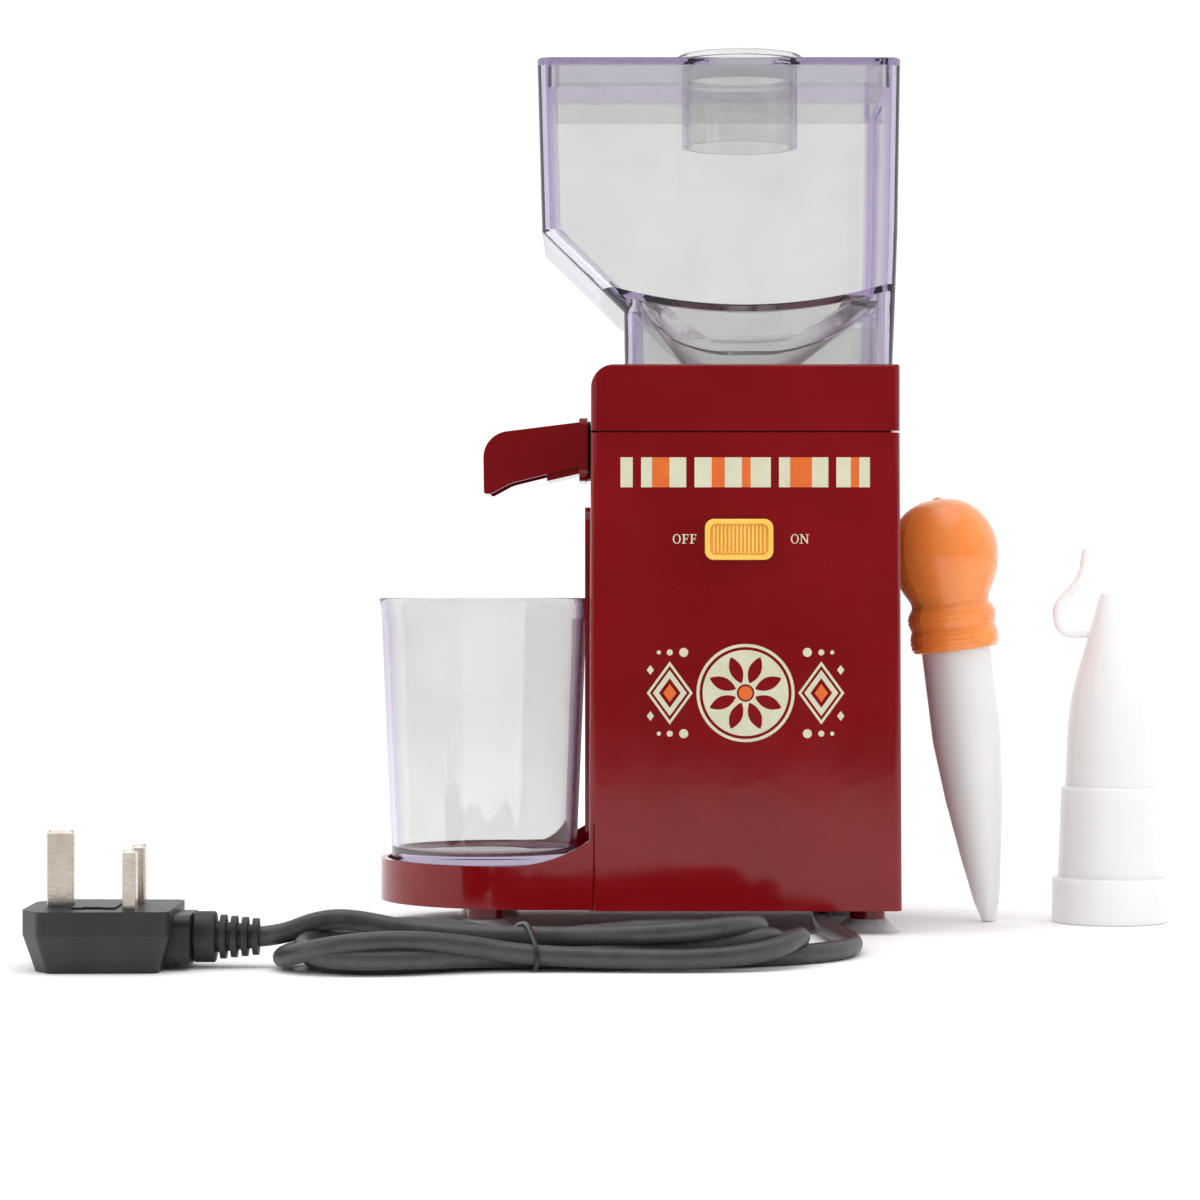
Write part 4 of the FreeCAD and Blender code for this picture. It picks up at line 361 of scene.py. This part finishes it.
def rubbery(name, dark, light, low, high, size, depth):
    """Moulded or extruded flexible PVC: near black, a broad low sheen, scuffed paler in places."""
    made, tree, where = new_finish(name)
    scuff = spots(tree, where, size * 6, 5.0, 0.7)
    skin = spots(tree, where, size, 3.0)
    closed(tree, {"IOR": 1.53},
           {"Base Color": tinted(tree, scuff, dark, light), "Roughness": between(tree, skin, low, high),
            "Normal": bumped(tree, skin, depth)})
    return made


def printed_ink(name, first, second):
    """Pad-printed ink: an opaque matt film, a little thin in places, with pinholes. The film's own texture
    is finer than 0.25 mm and is drawn coarser, so that it shows."""
    made, tree, where = new_finish(name)
    thin = spots(tree, where, 7, 5.0, 0.7)
    pinhole = spots(tree, where, 0.5, 1.0)
    film = spots(tree, where, 0.25, 2.0)
    paint = add(tree, "ShaderNodeMix", {"data_type": "RGBA"},
                {"Factor": between(tree, pinhole, 0, 1, 0.74, 0.8), "A": tinted(tree, thin, first, second)})
    paint.inputs["B"].default_value = colour("8A5A48")
    closed(tree, {"IOR": 1.5}, {"Base Color": paint.outputs["Result"],
                                "Roughness": between(tree, film, 0.3, 0.45),
                                "Normal": bumped(tree, film, 0.004)})
    return made


def metal(name, first, second, low, high, stretch, size=0.5, depth=0.004):
    """Metal that was turned, drawn or ground: fine lines that run with the tool, drawn coarser than a real
    tool's marks so that they show, and cloudy tarnish."""
    made, tree, where = new_finish(name)
    lines = spots(tree, where, size, 4.0, 0.6, stretch)
    tarnish = spots(tree, where, 8, 4.0)
    closed(tree, {"Metallic": 1.0},
           {"Base Color": tinted(tree, tarnish, first, second), "Roughness": between(tree, lines, low, high),
            "Normal": bumped(tree, lines, depth)})
    return made


def moulded(name, first, second, low, high, size=1.2, depth=0.02):
    """An engineering plastic, moulded without polish: dull, a fine grain and faint flow lines."""
    made, tree, where = new_finish(name)
    flow = spots(tree, where, 16, 3.0, 0.5, (1, 1, 0.3))
    grain = spots(tree, where, size, 3.0)
    closed(tree, {"IOR": 1.5},
           {"Base Color": tinted(tree, flow, first, second), "Roughness": between(tree, grain, low, high),
            "Normal": bumped(tree, grain, depth)})
    return made


red_shell = gloss_shell()
button_orange = satin_button()
# The box's walls carry the painted violet line at their upright rounded edges.
box_walls = clear_moulding("clear_SAN_moulded_box", True)
clear_walls = clear_moulding("clear_SAN_moulded", False)
milky = milky_sleeve()
bulb_rubber = rubber_bulb()
foot_pvc = suction_foot()
# Flexible PVC drawn over the lead's cores: charcoal, a low sheen along the top, scuffed by handling.
cord_sheath = rubbery("black_PVC_extruded_sheath", "303033", "444447", 0.34, 0.48, 1.4, 0.02)
# The same, moulded: darker and duller, with a skin that swallows light.
soft_black = rubbery("black_PVC_moulded_relief", "1A1A1C", "29292B", 0.42, 0.58, 0.8, 0.03)
# Thin PVC round a wire: smoother and a little glossier than the lead.
tie_sleeve = rubbery("black_PVC_extruded_over_wire", "141415", "232325", 0.3, 0.42, 0.6, 0.01)
# Polypropylene from an eroded mould: black with a tight grain that keeps highlights short.
plug_black = moulded("black_polypropylene_moulded_fine_grain", "1D1D20", "26262A", 0.36, 0.5, 0.5, 0.012)
cream_ink = printed_ink("cream_pad_print_ink", "C6C4A8", "D2D0B6")
orange_ink = printed_ink("orange_pad_print_ink", "D25C10", "DC681A")
# Nickel over brass: warm silver, bright, with lines across each pin.
pin_metal = metal("nickel_plated_brass_turned", "D8CEC4", "C6B9AA", 0.18, 0.32, (0.15, 1, 1))
# Stainless steel off the lathe: cool and clean, with rings round the axis.
spindle_steel = metal("stainless_steel_turned", "B9BABC", "A6A8AB", 0.22, 0.36, (1, 1, 6))
# Cast stainless steel, ground only where it cuts: grey, pebbly and dull between the teeth.
cast_steel = metal("stainless_steel_cast_and_ground", "A9A9A8", "949493", 0.34, 0.55, (1, 1, 1), 1.4, 0.03)
# Zinc over cold-headed steel: pale blue-grey with a soft shine.
screw_steel = metal("zinc_plated_steel_cold_headed", "C9CCD0", "B4B8BD", 0.24, 0.4, (1, 1, 1), 0.6, 0.01)
# Zinc over drawn steel: the same grey with long streaks up the sides.
can_steel = metal("zinc_plated_steel_deep_drawn", "A7ADB3", "8F969D", 0.3, 0.46, (1, 1, 0.1))
# Sintered bronze: brown, dull, and open-pored with oil.
sintered = metal("sintered_bronze_oil_filled", "8E6A3C", "6E5230", 0.42, 0.6, (1, 1, 1), 0.4, 0.03)
# Silicon steel in thin sheets: dark, with a fine line where each sheet ends.
lamination = metal("silicon_steel_stacked_sheets", "6A6C70", "55575A", 0.4, 0.6, (0.2, 0.2, 12), 1.0, 0.05)
# Pressed ferrite: nearly black, stony and matt.
ferrite = moulded("ferrite_pressed_and_fired", "2B2A2A", "383635", 0.6, 0.8, 0.6, 0.04)
# Natural nylon: warm white with a waxy dullness.
fan_nylon = moulded("white_nylon_moulded", "D9D5C8", "E6E2D6", 0.4, 0.55)
# Nylon with glass: black and dry, where fibres break the skin.
inner_plastic = moulded("black_glass_filled_nylon_moulded", "222224", "2E2E31", 0.45, 0.65, 0.9, 0.03)
# Paper and phenolic resin: tan, a little uneven, half matt.
phenolic = moulded("phenolic_paper_board_pressed", "9A6B35", "AA7A42", 0.5, 0.65, 0.7, 0.01)
# Polyester film in a potted block: mustard yellow and smooth.
film_block = moulded("yellow_polyester_block_potted", "C99A2E", "D8AA40", 0.3, 0.42)

finish_of = {
    red_shell: ["front_cover", "rear_cover", "head_cover", "side_guide", "cup_tray", "bottom_plate", "spout"],
    button_orange: ["switch_button"],
    box_walls: ["hopper"],
    clear_walls: ["hopper_lid", "cup"],
    milky: ["dropper_sleeve", "dropper_tube"],
    bulb_rubber: ["dropper_bulb"],
    foot_pvc: ["suction_foot_%d" % number for number in range(1, 5)],
    soft_black: ["cord_boot", "plug_relief", "outlet_gasket", "shaft_seal"],
    plug_black: ["plug_body", "plug_fuse_carrier"],
    pin_metal: ["plug_pin_earth", "plug_pin_live", "plug_pin_neutral"],
    spindle_steel: ["grinder_spindle", "motor_shaft"] + ["motor_post_%d" % number for number in range(1, 5)],
    cast_steel: ["feed_screw", "rotating_burr", "fixed_burr"],
    can_steel: ["motor_can", "motor_end_cap", "motor_mount_plate"],
    sintered: ["bearing_bush"],
    lamination: ["rotor_core"],
    ferrite: ["stator_magnet_1", "stator_magnet_2"],
    fan_nylon: ["cooling_fan", "drive_coupling"],
    inner_plastic: ["grinding_chamber", "chamber_cap", "switch_housing", "switch_slider", "cord_clamp"],
    phenolic: ["circuit_board"],
    film_block: ["capacitor"],
}


def dress(piece, finish):
    """Gives a piece one finish in every slot."""
    if not piece.material_slots:
        piece.data.materials.append(finish)
    for held in piece.material_slots:
        held.material = finish


for finish, names in finish_of.items():
    for name in names:
        dress(nodes[name], finish)
dress(mains_cord, cord_sheath)
dress(twist_tie, tie_sleeve)

# ---------------------------------------------------------------- turned pieces


def bend(r, z, round_r, start, end, count=8):
    """Points of a rounded corner about (r, z), between two angles in degrees."""
    angles = [math.radians(start + (end - start) * k / count) for k in range(count + 1)]
    return [(r + round_r * math.cos(angle), z + round_r * math.sin(angle)) for angle in angles]


def flowing(points):
    """A smooth line through points, in five steps from each one to the next."""
    steps = 5
    made = []
    ends = [points[0]] + list(points) + [points[-1]]
    for before, start, end, after in zip(ends, ends[1:], ends[2:], ends[3:]):
        for step in range(steps):
            t = step / steps
            made.append(tuple(((2 * b) + (c - a) * t + (2 * a - 5 * b + 4 * c - d) * t ** 2
                               + (3 * b - a - 3 * c + d) * t ** 3) / 2
                              for a, b, c, d in zip(before, start, end, after)))
    return made + [points[-1]]


def turned(name, profile, lay, proud, count=144):
    """A mesh turned from a profile of (radius, height). proud gives how far a spot stands out beyond it, and
    lay puts a point into the record's frame. Its edges look sharp where they fold by more than the crease."""
    crease, same_spot = math.radians(35), 1e-6
    points, faces = [], []
    for r, z in profile:
        for step in range(count):
            angle = math.tau * step / count
            far = r + proud(r, z, angle)
            points.append(lay(far * math.cos(angle), far * math.sin(angle), z))
    for ring in range(len(profile) - 1):
        for step in range(count):
            a, b = ring * count + step, ring * count + (step + 1) % count
            faces.append((a, b, b + count, a + count))
    mesh = bpy.data.meshes.new(name)
    mesh.from_pydata(points, [], faces)
    shaped = bmesh.new()
    shaped.from_mesh(mesh)
    bmesh.ops.remove_doubles(shaped, verts=shaped.verts, dist=same_spot)
    bmesh.ops.recalc_face_normals(shaped, faces=shaped.faces)
    shaped.to_mesh(mesh)
    shaped.free()
    mesh.shade_smooth()
    mesh.set_sharp_from_angle(angle=crease)
    return mesh


def shown(mesh, body, finish):
    """A piece made of that mesh, riding on a body."""
    piece = bpy.data.objects.new(mesh.name, mesh)
    bpy.context.collection.objects.link(piece)
    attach(piece, body)
    dress(piece, finish)
    return piece


def turned_cup():
    """The cup turned finely enough for its clear wall to bend what is behind it smoothly: a thick floor with
    a hollow under it, a tapered wall, a stepped rim, and the tab that stands on the machine's side."""
    (left, front, low), (right, back, top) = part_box("cup")
    middle = Vector(((left + right) / 2, (front + back) / 2, 0))
    low, top = low / MM, top / MM
    rim, foot, lip, wall, floor = 36.1, 31.8, 0.6, 1.8, 4.6
    foot_round, lip_round, lip_thick = 2.5, 0.3, 1.5
    hollow, hollow_deep = 18, 0.6
    under = top - 2.3
    stop = top - 7
    outer = rim - lip
    tab_tall, tab_proud, tab_cosine = 5.1, 0.35, 0.992
    profile = [(0, low + hollow_deep), (hollow, low + hollow_deep), (hollow + 0.8, low)]
    profile += bend(foot - foot_round, low + foot_round, foot_round, -90, 0)
    profile += [(outer - 0.3, under - 5.2), (outer - 0.29, under - 5), (outer, under), (rim - 0.2, under)]
    profile += bend(rim - lip_round, top - lip_round, lip_round, 0, 90, 4)
    profile += bend(outer - lip_thick + lip, top - lip_round, lip_round, 90, 180, 4)
    profile += [(outer - lip_thick, stop), (outer - wall - 0.3, stop)]
    profile += bend(foot - wall - foot_round, low + floor + foot_round, foot_round, 0, -90)
    profile += [(0, low + floor)]

    def tab(r, z, angle):
        on_tab = under - tab_tall < z <= under and r > outer - 1 and math.cos(angle) > tab_cosine
        return tab_proud if on_tab else 0

    mesh = turned("clear_cup", profile, lambda x, y, z: Vector((x, y, z)) * MM + middle, tab)
    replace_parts(shown(mesh, "cup", clear_walls), "cup")


def turned_bulb():
    """The squeeze bulb: two round beads with fine grip rings, a pinched neck, a full body with a moulding
    nib on top, and the line where the mould's halves met. It leans with its tube."""
    outer = [(12.05, 94.3), (12.6, 93.9), (14.2, 94.2), (15.0, 95.8), (15.15, 98.0), (14.9, 100.2),
             (14.35, 101.6), (14.9, 103.0), (15.15, 105.0), (14.9, 106.8), (14.1, 108.3), (13.5, 109.2),
             (13.3, 110.2), (13.7, 111.8), (14.8, 113.8), (16.2, 116.6), (17.6, 120.4), (18.4, 124.2),
             (18.6, 127.6), (18.3, 131.0), (17.4, 134.4), (15.9, 137.6), (13.6, 140.8), (10.6, 143.4),
             (7.2, 145.1), (4.0, 145.9), (1.9, 146.1), (1.3, 146.5), (0.6, 146.75), (0, 146.8)]
    inner = [(0, 144.0), (6, 142.9), (11.4, 139.2), (15, 133.4), (16.1, 127.4), (15.2, 120.6), (13, 115),
             (11.2, 110.6), (12.05, 109.6), (12.05, 94.3)]
    lean = Matrix.Rotation(math.radians(-7), 3, "Y")
    foot = Vector((85.867, 0, 0.318))
    skin = 12.5
    bead_low, bead_high, waist, waist_half = 94.6, 107.6, 101.6, 1.2
    ring_pitch, ring_deep = 1.7, 0.13
    seam_proud, seam_at, seam_sine = 0.16, 0.9, 0.9995

    def relief(r, z, angle):
        on_bead = bead_low < z < bead_high and abs(z - waist) > waist_half and r > skin
        ring = ring_deep * math.sin(math.tau * z / ring_pitch) if on_bead else 0
        seam = seam_proud if r > skin and abs(math.sin(angle + seam_at)) > seam_sine else 0
        return ring + seam

    def leaning(x, y, z):
        return place(*(lean @ Vector((x, y, z)) + foot))

    mesh = turned("squeeze_bulb", flowing(outer) + inner, leaning, relief)
    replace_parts(shown(mesh, "dropper", bulb_rubber), "dropper_bulb")


def cross_screw(length):
    """A self-tapping screw with a pan head, a cross recess and a helical thread, standing on z = 0."""
    core, neck, pitch, ring = 1.25, 0.6, 1.25, 0.16
    thread_start, thread_high, thread_slope = 0.7, 0.2, 0.55
    slot_long, slot_wide, slot_taper, slot_top, slot_floor = 4.2, 0.8, 0.55, 2.3, 0.7
    head = [(0, 2.1), (1.5, 2.08), (2.5, 1.8), (3.05, 1.15), (3.2, 0.4), (3.2, 0), (core, 0), (core, -neck)]
    rings = int((length - 1.6) / ring)
    shank = [(core, -neck - ring * step) for step in range(1, rings)]
    tip = [(0.4, -length), (0, -length - 0.1)]

    def thread(r, z, angle):
        if not -length < z < -thread_start:
            return 0
        return thread_high - thread_slope * abs((z / pitch + angle / math.tau) % 1 - 0.5)

    body = turned("screw", head + shank + tip, lambda x, y, z: Vector((x, y, z)) * MM, thread, 24)
    cross = bmesh.new()
    for wide, deep in ((slot_long, slot_wide), (slot_wide, slot_long)):
        for corner in bmesh.ops.create_cube(cross, size=1.0)["verts"]:
            upper = corner.co.z > 0
            narrow = 1.0 if upper else slot_taper
            corner.co = Vector((corner.co.x * wide * narrow, corner.co.y * deep * narrow,
                                slot_top if upper else slot_floor)) * MM
    cut = bpy.data.meshes.new("cross")
    cross.to_mesh(cut)
    cross.free()
    screw = bpy.data.objects.new("screw", body)
    cutter = bpy.data.objects.new("cross", cut)
    for piece in (screw, cutter):
        bpy.context.collection.objects.link(piece)
    carve = screw.modifiers.new("recess", "BOOLEAN")
    carve.operation, carve.solver, carve.object, carve.use_self = "DIFFERENCE", "EXACT", cutter, True
    mesh = bpy.data.meshes.new_from_object(screw.evaluated_get(bpy.context.evaluated_depsgraph_get()))
    for piece in (screw, cutter):
        bpy.data.objects.remove(piece)
    return mesh


def fasteners():
    """The screws that join the covers from behind, and those under the bottom plate."""
    screw = cross_screw(14)
    boss, post, seat = 43.5, 34.5, 18.0
    turn_apart = 0.7
    back = Matrix.Rotation(math.radians(-90), 4, "X")
    down = Matrix.Rotation(math.radians(180), 4, "X")
    holes = [("rear_screw", x, seat, z, back) for x in (-boss, boss) for z in (60.0, 135.0)]
    holes += [("bottom_screw", x, y, seat, down) for x in (-boss, boss) for y in (-boss, boss)]
    holes += [("post_screw", x, y, seat, down) for x in (-post, post) for y in (-post, post)]
    for number, (name, x, y, z, aim) in enumerate(holes):
        mesh = screw.copy()
        mesh.name = "%s_%d" % (name, number % 4 + 1)
        spin = Matrix.Rotation(turn_apart * number, 4, "Z")
        mesh.transform(Matrix.Translation(place(x, y, z)) @ aim @ spin)
        shown(mesh, "housing", screw_steel)


turned_cup()
turned_bulb()
fasteners()

# ---------------------------------------------------------------- printing on the front cover

ink_thick = 0.05


def on_front(px, py):
    """x and z in mm from the spindle's axis, for a spot counted in the parts of the camera's frame."""
    middle = frame_parts / 2
    return view_x + (px - middle) * front_scale, view_z - (py - middle) * front_scale


def printed(name, outlines, finish):
    """A film of ink on the front cover. An outline inside another one is a hole in it."""
    flat = bpy.data.curves.new(name, "CURVE")
    flat.dimensions = "2D"
    flat.fill_mode = "BOTH"
    flat.extrude = ink_thick / 2 * MM
    for outline in outlines:
        edge = flat.splines.new("POLY")
        edge.points.add(len(outline) - 1)
        for point, (x, z) in zip(edge.points, outline):
            point.co = ((x + SHIFT.x) * MM, z * MM, 0, 1)
        edge.use_cyclic_u = True
    drawn = bpy.data.objects.new(name, flat)
    mesh = bpy.data.meshes.new_from_object(drawn)
    bpy.data.objects.remove(drawn)
    cover = nodes["front_cover"]
    ahead, inward = -0.2, Vector((0, 1, 0))
    for corner in mesh.vertices:
        x, z, out = corner.co
        spot = cover.ray_cast(Vector((x, ahead, z)), inward)[1]
        corner.co = (x, spot.y - ink_thick * MM / 2 - out, z)
    mesh.update()
    film = bpy.data.objects.new(name, mesh)
    bpy.context.collection.objects.link(film)
    dress(film, finish)
    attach(film, "housing")


def bar(x0, x1, y0, y1):
    """A bar measured across the front."""
    (left, top), (right, low) = on_front(x0, y0), on_front(x1, y1)
    return [(left, low), (right, low), (right, top), (left, top)]


def oval(x, z, wide, tall, count=48):
    """A closed oval."""
    angles = [math.tau * step / count for step in range(count)]
    return [(x + wide * math.cos(angle), z + tall * math.sin(angle)) for angle in angles]


def circle(x, z, radius, count=48):
    """A closed circle."""
    return oval(x, z, radius, radius, count)


band_top, band_low = 457.3, 487.3
cream_bars = [(620.5, 632.7), (641.1, 652.0), (669.5, 686.2), (694.5, 711.6), (724.8, 741.8), (750.6, 770.8),
              (779.0, 790.1), (812.0, 828.3), (836.3, 850.8), (859.3, 869.9)]
orange_bars = [(652.0, 669.5), (711.6, 724.8), (741.8, 750.6), (790.1, 812.0), (850.8, 859.3)]
printed("band_cream", [bar(a, b, band_top, band_low) for a, b in cream_bars], cream_ink)
printed("band_orange", [bar(a, b, band_top, band_low) for a, b in orange_bars], orange_ink)


def letter_o(left, low, tall):
    """An O with thick sides."""
    x, z = left + tall * 0.42, low + tall / 2
    return [oval(x, z, tall * 0.42, tall * 0.52), oval(x, z, tall * 0.27, tall * 0.44)]


def slab_letter(path, left, low, tall):
    """A letter whose outline is drawn ten units tall."""
    unit = tall / 10
    return [[(left + x * unit, low + z * unit) for x, z in path]]


slab_f = [(0, 0), (4.4, 0), (4.4, 0.7), (3.1, 0.9), (3.1, 4.6), (4.9, 4.6), (5.2, 3.6), (5.8, 3.6),
          (5.8, 6.6), (5.2, 6.6), (4.9, 5.4), (3.1, 5.4), (3.1, 9.2), (5.7, 9.2), (6.3, 7.7), (7, 7.7),
          (6.9, 10), (0, 10), (0, 9.3), (1.3, 9.1), (1.3, 0.9), (0, 0.7)]
slab_n = [(0, 0), (3.6, 0), (3.6, 0.7), (2.3, 0.9), (2.3, 7.6), (7.9, 0), (8.8, 0), (8.8, 9.1), (10, 9.3),
          (10, 10), (6.5, 10), (6.5, 9.3), (7.8, 9.1), (7.8, 2.9), (2.6, 10), (0, 10), (0, 9.3), (1.4, 9.0),
          (1.4, 0.9), (0, 0.7)]
letter_tall = 3.1
off_x, word_low = on_front(672.8, 543.6)
on_x = on_front(790.8, 543.6)[0]
word_off = letter_o(off_x, word_low, letter_tall)
for step in (3.0, 5.6):
    word_off += slab_letter(slab_f, off_x + step, word_low, letter_tall)
printed("word_off", word_off, cream_ink)
word_on = letter_o(on_x, word_low, letter_tall) + slab_letter(slab_n, on_x + 2.9, word_low, letter_tall)
printed("word_on", word_on, cream_ink)

# A plain ornament stands where such a machine carries its label: a rosette between two nested diamonds,
# with rows of dots and four small diamonds.
mark_x, mark_z = on_front(745.5, 693)


def diamond(x, z, wide, tall):
    """A diamond, given by its half width and half height."""
    return [(x - wide, z), (x, z - tall), (x + wide, z), (x, z + tall)]


def petal(x, z, inner, outer, half, angle):
    """A pointed petal that stands away from the middle at that angle."""
    count = 14
    side = [(inner + (outer - inner) * k / count, half * math.sin(math.pi * k / count) ** 0.8)
            for k in range(count + 1)]
    shape = side + [(r, -w) for r, w in side[-2:0:-1]]
    c, s = math.cos(angle), math.sin(angle)
    return [(x + r * c - w * s, z + r * s + w * c) for r, w in shape]


petals = 8
beside = 25.0
small_beside, small_up = 31.4, 7.6
dots_up = 13.4
cream_work = [circle(mark_x, mark_z, radius) for radius in (16.2, 15.2, 14.2, 2.9)]
cream_work += [petal(mark_x, mark_z, 3.4, 12.8, 2.1, math.tau * (k + 0.5) / petals) for k in range(petals)]
for side in (-1, 1):
    middle = mark_x + side * beside
    cream_work += [diamond(middle, mark_z, wide, tall)
                   for wide, tall in ((7.6, 10.4), (6.6, 9.0), (5.6, 7.6), (3.6, 4.9))]
    cream_work += [diamond(mark_x + side * small_beside, mark_z + up, 1.2, 1.6)
                   for up in (-small_up, small_up)]
    for up in (-dots_up, dots_up):
        cream_work += [circle(mark_x + side * out, mark_z + up, radius, count)
                       for out, radius, count in ((20.4, 1.5, 24), (25, 1.0, 20), (28.6, 0.7, 16))]
orange_work = [circle(mark_x, mark_z, 2.3, 32)]
orange_work += [diamond(mark_x + side * beside, mark_z, 2.2, 3.0) for side in (-1, 1)]
printed("ornament_cream", cream_work, cream_ink)
printed("ornament_orange", orange_work, orange_ink)

# ---------------------------------------------------------------- floor and light


def floor_sheet():
    """A sheet of matt white paper that the machine stands on, faintly clouded by its fibres."""
    made = bpy.data.meshes.new("floor")
    near, far, side = 1.25, 3.0, 3.0
    count = 24
    row = count + 1
    points = [(side * (2 * i / count - 1), -near + (near + far) * j / count, 0)
              for j in range(row) for i in range(row)]
    faces = [(a, a + 1, a + row + 1, a + row) for j in range(count) for a in range(j * row, j * row + count)]
    made.from_pydata(points, [], faces)
    sheet = bpy.data.objects.new("floor", made)
    bpy.context.collection.objects.link(sheet)
    paper, tree, where = new_finish("white_paper_matt")
    fibre = spots(tree, where, 1.5, 4.0)
    closed(tree, {"IOR": 1.5, "Specular IOR Level": 0.2},
           {"Base Color": tinted(tree, fibre, "FDFDFD", "FFFFFF"),
            "Roughness": between(tree, fibre, 0.7, 0.85)})
    dress(sheet, paper)


def soft_light(name, at, towards, wide, tall, watts):
    """A softbox that the camera doesn't see, in metres and watts."""
    lamp = bpy.data.lights.new(name, "AREA")
    lamp.shape = "RECTANGLE"
    lamp.size, lamp.size_y = wide, tall
    lamp.energy = watts
    made = bpy.data.objects.new(name, lamp)
    bpy.context.collection.objects.link(made)
    made.location = at
    made.rotation_euler = (Vector(towards) - Vector(at)).to_track_quat("-Z", "Y").to_euler()
    made.visible_camera = False


floor_sheet()
soft_light("top_light", (-0.1, -0.2, 1.5), (0, 0, 0.1), 1.6, 1.2, 7)
soft_light("left_light", (-1.5, -0.9, 0.9), (-0.05, 0, 0.12), 1.0, 1.4, 4)
soft_light("right_light", (1.5, -0.7, 0.8), (-0.05, 0, 0.12), 0.8, 1.2, 1.5)

world = bpy.data.worlds.new("studio")
bpy.context.scene.world = world
world.use_nodes = True
studio = world.node_tree
studio.nodes.clear()
rays = add(studio, "ShaderNodeLightPath").outputs
mirrored = add(studio, "ShaderNodeMath", {"operation": "SUBTRACT"},
               {0: rays["Is Glossy Ray"], 1: rays["Is Transmission Ray"]}).outputs["Value"]
towards = add(studio, "ShaderNodeTexCoord").outputs["Generated"]
depth = add(studio, "ShaderNodeSeparateXYZ", (), {"Vector": towards}).outputs["Y"]
# A white sweep stands behind the machine and a dim room in front of it, which only reflections show.
white, dim = 1.05, 0.14
room = between(studio, depth, dim, white, -0.35, 0.25)
strength = add(studio, "ShaderNodeMapRange", {"To Min": white}, {"Value": mirrored, "To Max": room})
sky = add(studio, "ShaderNodeBackground", {"Color": colour("FFFFFF")},
          {"Strength": strength.outputs["Result"]})
add(studio, "ShaderNodeOutputWorld", (), {"Surface": sky.outputs["Background"]})
bpy.context.scene.view_settings.view_transform = "Standard"

bpy.context.view_layer.update()
